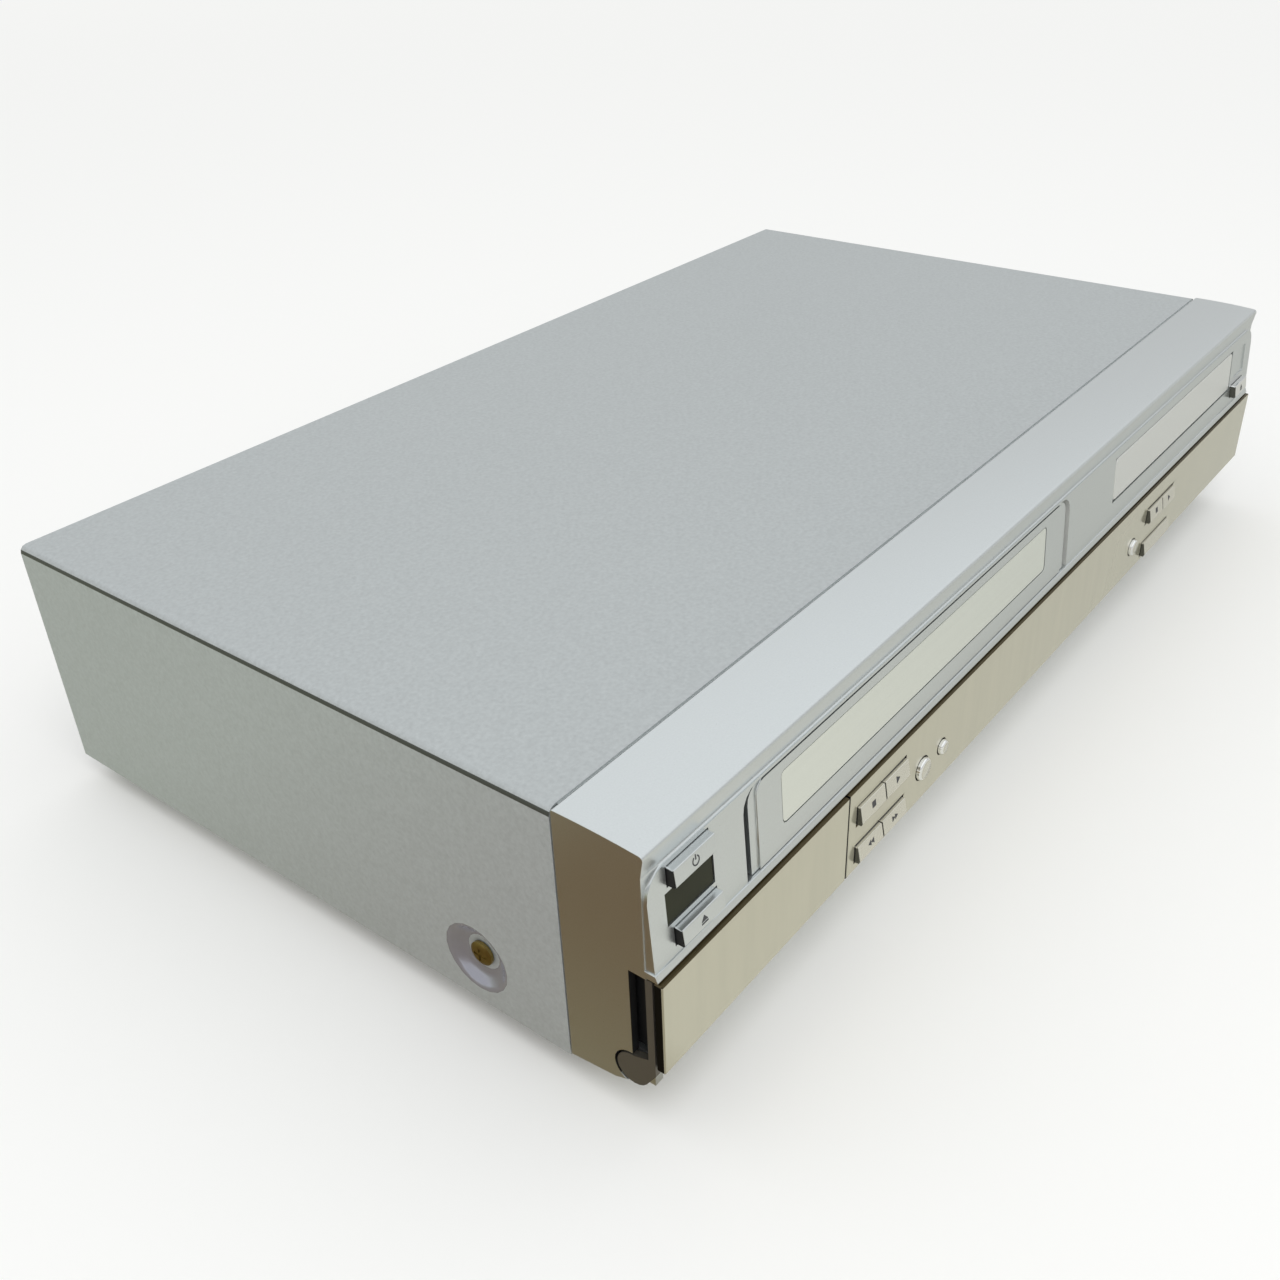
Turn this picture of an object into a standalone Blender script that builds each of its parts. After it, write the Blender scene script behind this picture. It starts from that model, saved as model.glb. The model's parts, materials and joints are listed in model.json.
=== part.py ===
"""Home deck with a disc drawer and a cassette slot, every piece its own solid.

Sizes are in millimetres and become metres as each mesh is made. X runs along
the front, "depth" runs back from the top front edge, Z is up from the floor.
"""

import math

import bmesh
import bpy
from mathutils import Matrix, Vector

MM = 0.001
FIT = 0.3
RUN = 0.6

# Widths, stacked from the left end of the cabinet to the right end
LEFT_END = 38.2
MOUTH_WIDE = 195.2
CENTRE_WIDE = 41.2
DISC_RADIUS = 60.8
DRAWER_WIDE = 2 * DISC_RADIUS + 7.7
RIGHT_END = 26.1
WIDTH = LEFT_END + MOUTH_WIDE + CENTRE_WIDE + DRAWER_WIDE + RIGHT_END
LEFT, RIGHT = -WIDTH / 2, WIDTH / 2

# Heights, stacked from the floor up
CHIN_LOW = 9.0
CHIN_TALL = 12.7
PANEL_TALL = 30.6
LEDGE_TALL = 2.1
FASCIA_TALL = 27.6
BROW_TALL = 8.0
PANEL_BOTTOM = CHIN_LOW + CHIN_TALL
PANEL_TOP = PANEL_BOTTOM + PANEL_TALL
LEDGE_TOP = PANEL_TOP + LEDGE_TALL
BROW_BOTTOM = LEDGE_TOP + FASCIA_TALL
HEIGHT = BROW_BOTTOM + BROW_TALL

# Cover and base
DEPTH = 249.4
FRONT_Y = -126.0
SHEET = 1.0
BEND = 2.5
SEAM = 26.5
FLOOR_GAP = 8.3
CHASSIS = (8.6, 9.8)
REAR_REACH = 8.6
SCREW_AT = (58.5, FLOOR_GAP + 15.7)
DISH_RADIUS = 10.4
DISH_DEEP = 3.0
REAR_SCREW_Z = HEIGHT - 8.0
REAR_SCREWS = {"rear_screw_left": LEFT + 25.0, "rear_screw_mid": 0.0, "rear_screw_right": RIGHT - 25.0}
REAR_FACE = DEPTH - SHEET - FIT
REAR_PLATE = 1.1
REAR_INSIDE = REAR_FACE - REAR_PLATE - FIT

# Front moulding
WALL = 2.4
CROWN = 0.9
NOSE = 1.2
FASCIA_TOP_SET = 0.1
FASCIA_LEAN = 2.0
FASCIA_CORNER = 7.0
PANEL_FACE = -4.1
PANEL_THICK = 3.0
SEAT = -0.8
SEAT_BACK = 1.4
LABEL_RECESS = (RIGHT - 20.5, RIGHT - 8.5, LEDGE_TOP + 10.6, BROW_BOTTOM - 5.0)

# Cassette mouth and flap: left, right, bottom, top
MOUTH = (LEFT + LEFT_END, LEFT + LEFT_END + MOUTH_WIDE, LEDGE_TOP + 0.2, BROW_BOTTOM - 0.8)
MOUTH_CORNER = 6.0
FLAP = (MOUTH[0] + 2.6, MOUTH[1] - 2.6, MOUTH[2] + FIT, MOUTH[3] - RUN)
FLAP_CORNER = 4.5
FLAP_THICK = 1.9
FLAP_STEP = 0.5
FLAP_PIVOT = (5.2, BROW_BOTTOM + 2.0)
INLAY = (FLAP[0] + 14.0, FLAP[1] - 16.4, FLAP[2] + 6.5, FLAP[3] - 3.0)

# Disc drawer and loader
DRAWER = (RIGHT - RIGHT_END - DRAWER_WIDE, RIGHT - RIGHT_END, LEDGE_TOP + 7.6, BROW_BOTTOM - 4.0)
DISC_AT = ((DRAWER[0] + DRAWER[1]) / 2, DISC_RADIUS + 15.2)
SMALL_DISC_RADIUS = 41.0
TRAY_BOTTOM = DRAWER[2] + 2.8
TRAY_TOP = TRAY_BOTTOM + 6.2
TRAY_BACK = DISC_AT[1] + DISC_RADIUS + 23.2
LOADER = (DRAWER[0] - 5.6, DRAWER[1] + 5.6, DRAWER[2] - 12.0, DRAWER[3] + 2.0)
LOADER_FRONT = 24.0
LOADER_BACK = TRAY_BACK + 30.0
LOADER_FEET = (LOADER_FRONT + 18.0, LOADER_BACK - 12.0)

# Jack door
DOOR_SPLIT = LEFT + 84.5
DOOR_PIVOT = (6.0, PANEL_BOTTOM - 4.1)
LUG_RADIUS = 5.0
BAY = (LEFT + 5.5, DOOR_SPLIT - 4.5, PANEL_BOTTOM + 3.3, PANEL_TOP - 2.3)
BAY_BACK = 13.0
BAY_WALL = 1.5
FRONT_JACKS = (BAY[0] + 23.5, BAY[0] + 37.5, BAY[0] + 51.5)
FRONT_ROUND_JACK = BAY[0] + 66.0
FRONT_JACK_Z = (BAY[2] + BAY[3]) / 2

# Keys: left, right, bottom, top
KEY_PROUD = 1.9
FASCIA_KEY_PROUD = 2.2
TAPE_X = (LEFT + 89.0, LEFT + 102.6, LEFT + 103.0, LEFT + 116.5)
TAPE_Z = (PANEL_BOTTOM + 3.7, PANEL_BOTTOM + 9.5, PANEL_BOTTOM + 17.5, PANEL_BOTTOM + 23.9)
DISC_X = (RIGHT - 120.0, RIGHT - 106.7, RIGHT - 106.3, RIGHT - 93.0)
DISC_Z = (PANEL_BOTTOM + 2.7, PANEL_BOTTOM + 8.5, PANEL_BOTTOM + 17.1, PANEL_BOTTOM + 22.9)
PANEL_KEYS = {
    "stop_button": (TAPE_X[0], TAPE_X[1], TAPE_Z[2], TAPE_Z[3]),
    "play_button": (TAPE_X[2], TAPE_X[3], TAPE_Z[2], TAPE_Z[3]),
    "rewind_button": (TAPE_X[0], TAPE_X[1], TAPE_Z[0], TAPE_Z[1]),
    "forward_button": (TAPE_X[2], TAPE_X[3], TAPE_Z[0], TAPE_Z[1]),
    "disc_stop_button": (DISC_X[0], DISC_X[1], DISC_Z[2], DISC_Z[3]),
    "disc_play_button": (DISC_X[2], DISC_X[3], DISC_Z[2], DISC_Z[3]),
    "disc_skip_button": (DISC_X[0], DISC_X[3], DISC_Z[0], DISC_Z[1]),
}
ROUND_KEYS = {
    "record_button": (LEFT + 128.0, PANEL_BOTTOM + 12.8, 3.75),
    "select_button": (LEFT + 140.5, PANEL_BOTTOM + 13.3, 2.5),
    "disc_select_button": (RIGHT - 132.5, PANEL_BOTTOM + 12.3, 3.25),
}
FASCIA_KEYS = {
    "power_button": (LEFT + 8.0, LEFT + 24.0, BROW_BOTTOM - 6.7, BROW_BOTTOM - 1.3),
    "eject_button": (LEFT + 9.0, LEFT + 25.5, LEDGE_TOP + 2.8, LEDGE_TOP + 8.0),
    "open_close_button": (RIGHT - 22.8, RIGHT - 8.2, LEDGE_TOP + 2.8, LEDGE_TOP + 8.0),
}
SENSOR = (LEFT + 7.0, LEFT + 25.0, LEDGE_TOP + 10.1, BROW_BOTTOM - 8.6)
DISPLAY = (LEFT + 155.0, RIGHT - 147.0, PANEL_BOTTOM + 7.3, PANEL_BOTTOM + 24.3)

# Boards
BOARD = 1.6
KEY_BOARD_AT = 8.0
SIGNAL_BOARD = (RIGHT - 177.0, RIGHT - 29.0, 105.0, DEPTH - 11.4)
SIGNAL_Z = CHASSIS[1] + 6.2
POWER_BOARD = (RIGHT - 153.0, RIGHT - 29.0, 32.0, 98.0)
POWER_Z = CHASSIS[1] + 4.2

# Tape deck
DECK_Z = MOUTH[2] - 30.6
DECK_THICK = 1.6
DECK_TOP = DECK_Z + DECK_THICK
DECK = (MOUTH[0] - 10.2, MOUTH[1] + 7.0, 32.0, DEPTH - 9.4)
GUIDE_WALL = 1.4
GUIDES = (MOUTH[0] - 2.8, MOUTH[1] + 1.4)
CASSETTE_MID = (FLAP[0] + FLAP[1]) / 2
DRUM_AT = (CASSETTE_MID, DEPTH - 43.4)
DRUM_RADIUS = 31.0
DRUM_LEAN = math.radians(5.9)
DRUM_SPLIT = DECK_Z + 20.0
REELS = {"supply_reel": (CASSETTE_MID - 46.0, 118.0), "takeup_reel": (CASSETTE_MID + 46.0, 118.0)}
CAPSTAN_AT = (CASSETTE_MID + 48.2, DRUM_AT[1] - 28.0)
PINCH_AT = (CAPSTAN_AT[0] + 14.5, CAPSTAN_AT[1] + 4.0)
HOLDER_PINS = ((66.0, MOUTH[2] + 5.4), (106.0, MOUTH[2] + 15.4))
HOLDER_TRAVEL = 45.0
HOLDER = (38.0, 128.0)

# Rear sockets
INLET_AT = (RIGHT - 27.0, SIGNAL_Z + 16.0)
AERIALS = (RIGHT - 168.0, RIGHT - 156.0)
AERIAL_Z = SIGNAL_Z + 15.0
JACK_ROWS = (SIGNAL_Z + 11.0, SIGNAL_Z + 27.0)
JACK_COLUMNS = tuple(RIGHT - 131.0 + 18.5 * i for i in range(5))

SILVER = ("B9BCC0", 0.38, 0.55)
STEEL = ("A9ACAE", 0.4, 0.9)
BLACK = ("16171A", 0.5, 0.0)
CHROME = ("C9CBCC", 0.16, 0.9)
BOARD_GREEN = ("2F5A3C", 0.6, 0.0)
NATURAL = ("D9D6CC", 0.5, 0.0)


def fascia(z):
    """Depth of the leaning fascia face at this height."""
    return FASCIA_TOP_SET - FASCIA_LEAN * (BROW_BOTTOM - z) / (BROW_BOTTOM - LEDGE_TOP)


def linear(hex_colour):
    """Linear red, green and blue of an sRGB hex colour."""
    channels = [int(hex_colour[i:i + 2], 16) / 255 for i in (0, 2, 4)]
    return [c / 12.92 if c <= 0.04045 else ((c + 0.055) / 1.055) ** 2.4 for c in channels]


def mesh_object(bm):
    """A linked object from closed faces given in millimetres."""
    bmesh.ops.recalc_face_normals(bm, faces=bm.faces)
    bmesh.ops.translate(bm, verts=bm.verts, vec=(0, FRONT_Y, 0))
    bmesh.ops.scale(bm, verts=bm.verts, vec=(MM, MM, MM))
    mesh = bpy.data.meshes.new("work")
    bm.to_mesh(mesh)
    bm.free()
    obj = bpy.data.objects.new("work", mesh)
    bpy.context.scene.collection.objects.link(obj)
    return obj


def prism(outline, axis, start, end):
    """An outline extruded along one axis; the outline holds the other two."""
    place = {
        "X": lambda p, t: (t, p[0], p[1]),
        "Y": lambda p, t: (p[0], t, p[1]),
        "Z": lambda p, t: (p[0], p[1], t),
    }[axis]
    bm = bmesh.new()
    near = [bm.verts.new(place(p, start)) for p in outline]
    far = [bm.verts.new(place(p, end)) for p in outline]
    bm.faces.new(near)
    bm.faces.new(far[::-1])
    for i, vert in enumerate(near):
        j = (i + 1) % len(near)
        bm.faces.new((vert, far[i], far[j], near[j]))
    return mesh_object(bm)


def block(x0, x1, d0, d1, z0, z1):
    return prism(((x0, d0), (x1, d0), (x1, d1), (x0, d1)), "Z", z0, z1)


def arc(centre, radius, first, last, steps):
    """Points on an arc between two angles in degrees."""
    angles = [math.radians(first + (last - first) * i / steps) for i in range(steps + 1)]
    return [(centre[0] + radius * math.cos(a), centre[1] + radius * math.sin(a)) for a in angles]


def circle(centre, radius, sides=20):
    return arc(centre, radius, 0, 360 - 360 / sides, sides - 1)


def rod(centre, radius, axis, start, end, sides=20):
    return prism(circle(centre, radius, sides), axis, start, end)


def rounded(x0, x1, y0, y1, radius, steps=3):
    """A rectangle with round corners."""
    corners = ((x1, y1, -1, -1, 0), (x0, y1, 1, -1, 90), (x0, y0, 1, 1, 180), (x1, y0, -1, 1, 270))
    points = []
    for x, y, sx, sy, first in corners:
        points += arc((x + sx * radius, y + sy * radius), radius, first, first + 90, steps)
    return points


def turned(profile, centre, axis="Z", sides=24):
    """A closed (radius, height) profile turned about an axis."""
    place = {
        "X": lambda u, v, t: (t, centre[0] + u, centre[1] + v),
        "Y": lambda u, v, t: (centre[0] + u, t, centre[1] + v),
        "Z": lambda u, v, t: (centre[0] + u, centre[1] + v, t),
    }[axis]
    bm = bmesh.new()
    rings = []
    for radius, height in profile:
        count = sides if radius > 0 else 1
        turns = [2 * math.pi * i / sides for i in range(count)]
        rings.append([
            bm.verts.new(place(radius * math.cos(a), radius * math.sin(a), height)) for a in turns
        ])
    for ring, following in zip(rings, rings[1:] + rings[:1]):
        for i in range(sides):
            j = (i + 1) % sides
            corners = [ring[i % len(ring)], ring[j % len(ring)]]
            corners += [following[j % len(following)], following[i % len(following)]]
            corners = list(dict.fromkeys(corners))
            if len(corners) > 2:
                bm.faces.new(corners)
    return mesh_object(bm)


def combine(base, operation, tools):
    for tool in tools:
        step = base.modifiers.new("combine", "BOOLEAN")
        step.operation = operation
        step.solver = "EXACT"
        step.object = tool
        graph = bpy.context.evaluated_depsgraph_get()
        mesh = bpy.data.meshes.new_from_object(base.evaluated_get(graph))
        base.modifiers.clear()
        base.data = mesh
        bpy.data.objects.remove(tool)
    return base


def join(base, *tools):
    return combine(base, "UNION", tools)


def cut(base, *tools):
    return combine(base, "DIFFERENCE", tools)


def lean_front(obj, back, offset=0.0):
    """Moves the front faces of a plate onto the leaning fascia face."""
    for vert in obj.data.vertices:
        z = vert.co.z / MM
        if vert.co.y / MM - FRONT_Y < back:
            vert.co.y = (fascia(z) + offset + FRONT_Y) * MM
    return obj


def lean_plate(outline, thick, offset=0.0):
    """A plate whose front and back both follow the leaning fascia."""
    obj = prism(outline, "Y", 0.0, thick)
    for vert in obj.data.vertices:
        vert.co.y += (fascia(vert.co.z / MM) + offset) * MM
    return obj


def finish(obj, name, look, pivot=None, bevel=0.0):
    """Names a piece, gives it its material and puts its origin on its joint."""
    obj.name = name
    obj.data.name = name
    colour, roughness, metallic = look
    material = bpy.data.materials.new(name + "_finish")
    material.use_nodes = True
    shader = material.node_tree.nodes["Principled BSDF"]
    shader.inputs["Base Color"].default_value = (*linear(colour), 1.0)
    shader.inputs["Roughness"].default_value = roughness
    shader.inputs["Metallic"].default_value = metallic
    obj.data.materials.clear()
    obj.data.materials.append(material)
    obj.data.shade_smooth()
    obj.data.set_sharp_from_angle(angle=math.radians(32))
    if pivot:
        at = Vector((pivot[0], pivot[1] + FRONT_Y, pivot[2])) * MM
        obj.data.transform(Matrix.Translation(-at))
        obj.location = at
    if bevel:
        edge = obj.modifiers.new("edge", "BEVEL")
        edge.width = bevel * MM
        edge.segments = 1
        edge.limit_method = "ANGLE"
        edge.angle_limit = math.radians(50)
    return obj


def arched(x0, x1, z0, z1, radius, steps=4):
    """A rectangle whose two top corners are round."""
    right = arc((x1 - radius, z1 - radius), radius, 0, 90, steps)
    left = arc((x0 + radius, z1 - radius), radius, 90, 180, steps)
    return [(x1, z0), *right, *left, (x0, z0)]


def make_cover():
    """Folded cover: round bends, a rear lip and a bowl for the screw on each side."""
    outer = [(RIGHT, FLOOR_GAP), *arc((RIGHT - BEND, HEIGHT - BEND), BEND, 0, 90, 3)]
    outer += [(-x, z) for x, z in reversed(outer)]
    inset = RIGHT - SHEET
    inner = [(inset, FLOOR_GAP), *arc((RIGHT - BEND, HEIGHT - BEND), BEND - SHEET, 0, 90, 3)]
    inner += [(-x, z) for x, z in reversed(inner)]
    cover = prism(outer + inner[::-1], "Y", SEAM + 0.4, DEPTH)
    join(cover, block(-inset, inset, DEPTH - SHEET, DEPTH, REAR_SCREW_Z - 6.0, HEIGHT - 0.5))
    wide = DISH_RADIUS
    for side in (-1, 1):
        face = side * RIGHT
        floor = face - side * DISH_DEEP
        inside = floor - side * SHEET
        bulge = [(0, face - side * 0.5), (wide - 0.2, face - side * 0.5), (wide - 3.6, inside), (0, inside)]
        dish = [(0, face + side), (wide + 0.8, face + side), (wide - 0.6, face - side * 0.6)]
        dish += [(wide - 2.4, face - side * 2.0), (wide - 4.8, floor), (0, floor)]
        join(cover, turned(bulge, SCREW_AT, "X", 20))
        cut(cover, turned(dish, SCREW_AT, "X", 20))
        cut(cover, rod(SCREW_AT, 2.0, "X", face, inside - side, 12))
    for x in REAR_SCREWS.values():
        cut(cover, rod((x, REAR_SCREW_Z), 2.0, "Y", DEPTH - 3, DEPTH + 3, 12))
    finish(cover, "top_cover", ("A7AAAE", 0.5, 0.6))


def screw(name, centre, axis, seat, outward):
    """A pan-head screw whose head stands off the sheet it holds."""
    head = seat + outward * FIT
    profile = [(0, head + outward * 1.5), (2.6, head + outward * 1.5), (3.8, head + outward * 0.7)]
    profile += [(3.8, head), (1.5, head), (1.5, seat - outward * 4.0), (0, seat - outward * 4.6)]
    finish(turned(profile, centre, axis, 12), name, ("B79B55", 0.35, 0.9))


def chin_curve():
    """Side profile of the chin, from the panel's lower edge back to the seam."""
    steps = ((-2.4, 1.0), (-2.2, 0.9), (-0.9, 0.69), (3.5, 0.386), (12.0, 0.142), (SEAM, 0.0))
    return [(depth, CHIN_LOW + CHIN_TALL * share) for depth, share in steps]


def make_bezel():
    """The moulded front, shelled from its side profile, with every opening."""
    crown = [(SEAM, HEIGHT - 0.5)]
    for i in range(6):
        reach = i / 5
        crown.append(((SEAM - 0.5) * (1 - reach) + NOSE * reach, HEIGHT - CROWN * reach ** 2.4))
    crown += arc((NOSE, HEIGHT - CROWN - NOSE), NOSE, 90, 180, 3)[1:]
    chin = chin_curve()
    profile = crown + [(0.9, BROW_BOTTOM + 0.5), (0.9, LEDGE_TOP)]
    profile += [(fascia(LEDGE_TOP) - FIT, LEDGE_TOP), (-2.9, LEDGE_TOP - 1.6)]
    profile += [(-2.9, PANEL_TOP), (SEAT, PANEL_TOP), (SEAT, PANEL_BOTTOM), *chin]
    bezel = prism(profile, "X", LEFT, RIGHT)
    edge, low = RIGHT - 0.4, LEDGE_TOP - 0.5
    plate = arched(-edge, edge, low, BROW_BOTTOM, FASCIA_CORNER)
    join(bezel, lean_front(prism(plate, "Y", -1.0, 1.5), 1.0))
    hollow = [(SEAM + 1, HEIGHT - 2.4), (3.6, HEIGHT - 3.2), (2.5, BROW_BOTTOM), (2.5, LEDGE_TOP + 1.8)]
    hollow += [(SEAT_BACK, PANEL_TOP - 1.3), (SEAT_BACK, PANEL_BOTTOM + 1.7)]
    hollow += [(depth + 2.9, z + 2.0) for depth, z in chin[2:]]
    cut(bezel, prism(hollow, "X", LEFT + WALL, RIGHT - WALL))
    open_jack_door(bezel)
    cut(bezel, prism(arched(*MOUTH, MOUTH_CORNER), "Y", -6, 3.5))
    x0, x1, z0, z1 = DRAWER
    cut(bezel, block(x0 - RUN, x1 + RUN, -6, 3.5, z0 - RUN, z1 + RUN))
    cut(bezel, lean_plate(rounded(*LABEL_RECESS, 0.8, 2), 2.5, -2.0))
    for x in (MOUTH[0] - 2.0, MOUTH[1] - 0.4):
        join(bezel, block(x, x + 2.4, 2.2, 8.0, BROW_BOTTOM - 1.1, HEIGHT - 2.2))
        cut(bezel, rod(FLAP_PIVOT, 1.3, "X", x - 1, x + 3.4, 12))
    for x0, x1, z0, z1 in list(FASCIA_KEYS.values()) + [SENSOR]:
        cut(bezel, block(x0 - 0.35, x1 + 0.35, -6, 3.5, z0 - 0.35, z1 + 0.35))
    for hole in panel_holes(SEAT - 1, SEAT_BACK + 1):
        cut(bezel, hole)
    x0, x1, z0, z1 = DISPLAY
    cut(bezel, block(x0 - 2.0, x1 + 2.0, SEAT - 1, SEAT_BACK + 1, z0 - 1.0, z1 + 1.0))
    posts = [(x0 - 6.0, z0 - 2.0), (x1 + 8.0, z0 - 2.0)]
    posts += [(RIGHT - 87.0, PANEL_TOP - 5.3), (RIGHT - 29.0, PANEL_TOP - 5.3)]
    for x, z in posts:
        join(bezel, rod((x, z), 2.0, "Y", SEAT_BACK - 0.4, KEY_BOARD_AT - FIT, 10))
    for z in (LEDGE_TOP + 5.6, BROW_BOTTOM - 2.0):
        join(bezel, rod((LEFT + 28.4, z), 1.5, "Y", 2.1, KEY_BOARD_AT - FIT, 10))
    finish(bezel, "front_bezel", SILVER)


def open_jack_door(bezel):
    """The opening behind the flip-down door, and the door's hinge blocks."""
    x0, x1, z0, z1 = BAY
    cut(bezel, block(x0, x1, -6, SEAT_BACK + 1, z0, z1))
    hinge = DOOR_PIVOT
    low = hinge[1] - LUG_RADIUS - 0.1
    split = DOOR_SPLIT
    join(bezel, block(LEFT + 2.2, x0, 1.0, 10.5, low, z0 - BAY_WALL - FIT))
    join(bezel, block(split - 0.1, split + 2.9, 1.0, 10.5, low, hinge[1] + 4.9))
    cut(bezel, rod(hinge, 1.9, "X", LEFT + 2.0, LEFT + 6.0, 12))
    cut(bezel, rod(hinge, 1.9, "X", split - 1.0, split + 3.5, 12))
    cut(bezel, block(LEFT - 1, split - FIT, -6, 0.5, CHIN_LOW - 2, PANEL_TOP))
    cut(bezel, block(LEFT - 1, LEFT + 2.5, -6, 5.8, CHIN_LOW - 2, PANEL_TOP - 0.5))
    cut(bezel, rod(hinge, LUG_RADIUS + 0.7, "X", LEFT - 1, LEFT + 2.5, 24))
    cut(bezel, block(split - 2.9, split - FIT, -6, 12, CHIN_LOW - 1, PANEL_BOTTOM + 2.8))


def make_jack_pocket():
    """The four-walled pocket that the front jacks stand in."""
    x0, x1, z0, z1 = BAY
    wall = BAY_WALL
    start = SEAT_BACK + FIT
    bay = block(x0 - wall, x1 + wall, start, BAY_BACK, z0 - wall, z1 + wall)
    cut(bay, block(x0, x1, start - 1, BAY_BACK + 1, z0, z1))
    finish(bay, "jack_pocket", SILVER)


def panel_holes(start, end):
    """Openings for the keys, one for each pair that stands side by side."""
    grow = 0.4
    rows = [("stop_button", "play_button"), ("rewind_button", "forward_button")]
    rows += [("disc_stop_button", "disc_play_button"), ("disc_skip_button", "disc_skip_button")]
    holes = []
    for first, last in rows:
        x0, _, z0, z1 = PANEL_KEYS[first]
        x1 = PANEL_KEYS[last][1]
        holes.append(block(x0 - grow, x1 + grow, start, end, z0 - grow, z1 + grow))
    for x, z, radius in ROUND_KEYS.values():
        holes.append(rod((x, z), radius + grow, "Y", start, end, 20))
    return holes


def make_lower_panel():
    """Half-mirror panel with its key openings."""
    back = PANEL_FACE + PANEL_THICK
    panel = block(DOOR_SPLIT + 0.2, RIGHT - 0.1, PANEL_FACE, back, PANEL_BOTTOM + 0.5, PANEL_TOP - 0.4)
    cut(panel, *panel_holes(PANEL_FACE - 1, back + 1))
    finish(panel, "lower_panel", ("B5AE9C", 0.12, 0.75))


def make_door():
    """Flip-down door: its panel, and a carrier with two hinge lugs and pins."""
    edge = LEFT + 0.1
    low, high = PANEL_BOTTOM + 0.5, PANEL_TOP - 0.4
    back = PANEL_FACE + PANEL_THICK
    panel = block(edge, DOOR_SPLIT - 0.2, PANEL_FACE, back - FIT, low, high)
    hinge = DOOR_PIVOT
    at = (0.0, *hinge)
    finish(panel, "jack_door_panel", ("B5AE9C", 0.12, 0.75), at, 0.35)
    lug = arc(hinge, LUG_RADIUS, 215, 455, 14)
    frame = block(edge + 1.8, DOOR_SPLIT - 0.9, back, 0.2, low + 0.2, high - 0.2)
    arm = [(back, high - 0.1), (back, hinge[1] + 1.9), *lug, (1.0, hinge[1] + 6.6), (1.0, high - 0.1)]
    join(frame, prism(arm, "X", edge, edge + 2.0))
    tab = [(back, hinge[1] + 12.4), (back, hinge[1] + 1.9), *lug]
    tab += [(0.2, hinge[1] + 6.6), (0.2, hinge[1] + 12.4)]
    join(frame, prism(tab, "X", DOOR_SPLIT - 2.5, DOOR_SPLIT - 0.7))
    join(frame, rod(hinge, 1.5, "X", edge + 1.5, LEFT + 5.0, 12))
    join(frame, rod(hinge, 1.5, "X", DOOR_SPLIT - 1.0, DOOR_SPLIT + 2.5, 12))
    finish(frame, "jack_door_frame", ("9C978F", 0.45, 0.3), at)


def make_flap():
    """Cassette flap: stepped face, pocket for the inlay, ears and hinge pins."""
    x0, x1, z0, z1 = FLAP
    flap = lean_plate(arched(x0, x1, z0, z1, FLAP_CORNER), FLAP_THICK, FLAP_STEP)
    raised = arched(x0 + 3.2, x1 - 3.2, z0, z1, FLAP_CORNER - 1.0)
    join(flap, lean_plate(raised, FLAP_STEP + 0.6))
    cut(flap, lean_plate(rounded(*INLAY, 1.6, 2), 2.0, -1.1))
    foot, neck = FLAP_PIVOT[1] - 16.0, FLAP_PIVOT[1] - 3.0
    ear = [(0.6, foot), (3.6, neck), *arc(FLAP_PIVOT, 1.6, 180, 0, 6), (6.8, neck - 0.5), (3.2, foot)]
    for start, end, pin in ((x0, x0 + 2.4, x0 - 4.2), (x1 - 2.4, x1, x1 + 4.2)):
        join(flap, prism(ear, "X", start, end))
        join(flap, rod(FLAP_PIVOT, 0.9, "X", (start + end) / 2, pin, 10))
    at = (CASSETTE_MID, *FLAP_PIVOT)
    finish(flap, "cassette_flap", SILVER, at)
    gx0, gx1, gz0, gz1 = INLAY
    inlay = rounded(gx0 + FIT, gx1 - FIT, gz0 + FIT, gz1 - FIT, 1.4, 2)
    finish(lean_plate(inlay, 0.5, 0.1), "flap_inlay", ("AEB5A8", 0.3, 0.85), at)


def make_drawer():
    """Disc tray with its stepped disc seat and pickup slot, and its front."""
    x0, x1, z0, z1 = DRAWER
    front = lean_front(prism(rounded(x0, x1, z0, z1, 2.0, 3), "Y", -1.5, 1.7), 1.0)
    finish(front, "tray_front", SILVER, bevel=0.3)
    tray = block(x0 + 0.8, x1 - 0.8, 2.0, TRAY_BACK, TRAY_BOTTOM, TRAY_TOP)
    cut(tray, rod(DISC_AT, DISC_RADIUS, "Z", TRAY_TOP - 2.6, TRAY_TOP + 1, 48))
    cut(tray, rod(DISC_AT, SMALL_DISC_RADIUS, "Z", TRAY_TOP - 3.6, TRAY_TOP + 1, 36))
    slot = arc(DISC_AT, 17.0, 180, 360, 8)
    slot += [(DISC_AT[0] + 17.0, TRAY_BACK - 18.0), (DISC_AT[0] - 17.0, TRAY_BACK - 18.0)]
    cut(tray, prism(slot, "Z", TRAY_BOTTOM - 1, TRAY_TOP + 1))
    for x in (x0 + 6.0, x1 - 6.0):
        cut(tray, block(x - 2, x + 2, 12.0, TRAY_BACK - 10.0, TRAY_TOP - 1.5, TRAY_TOP + 1))
    finish(tray, "disc_tray", ("3A3C3F", 0.5, 0.0))


def make_panel_keys():
    for name, (x0, x1, z0, z1) in PANEL_KEYS.items():
        tip = PANEL_FACE - KEY_PROUD
        side = [(2.0, z0), (2.0, z1), (tip + 0.9, z1), (tip, z0 + 1.2), (tip + 0.5, z0)]
        key = prism(side, "X", x0, x1)
        join(key, block(x0, x1, SEAT_BACK + 0.4, SEAT_BACK + 1.4, z0 - 1.0, z1 + 1.0))
        finish(key, name, CHROME)
    for name, (x, z, radius) in ROUND_KEYS.items():
        tip = PANEL_FACE - KEY_PROUD + 0.3
        skirt = SEAT_BACK + 0.4
        profile = [(0, tip), (radius - 0.7, tip + 0.1), (radius, tip + 0.8), (radius, skirt)]
        profile += [(radius + 1.0, skirt), (radius + 1.0, skirt + 1.0), (0, skirt + 1.0)]
        finish(turned(profile, (x, z), "Y", 18), name, CHROME)


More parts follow.
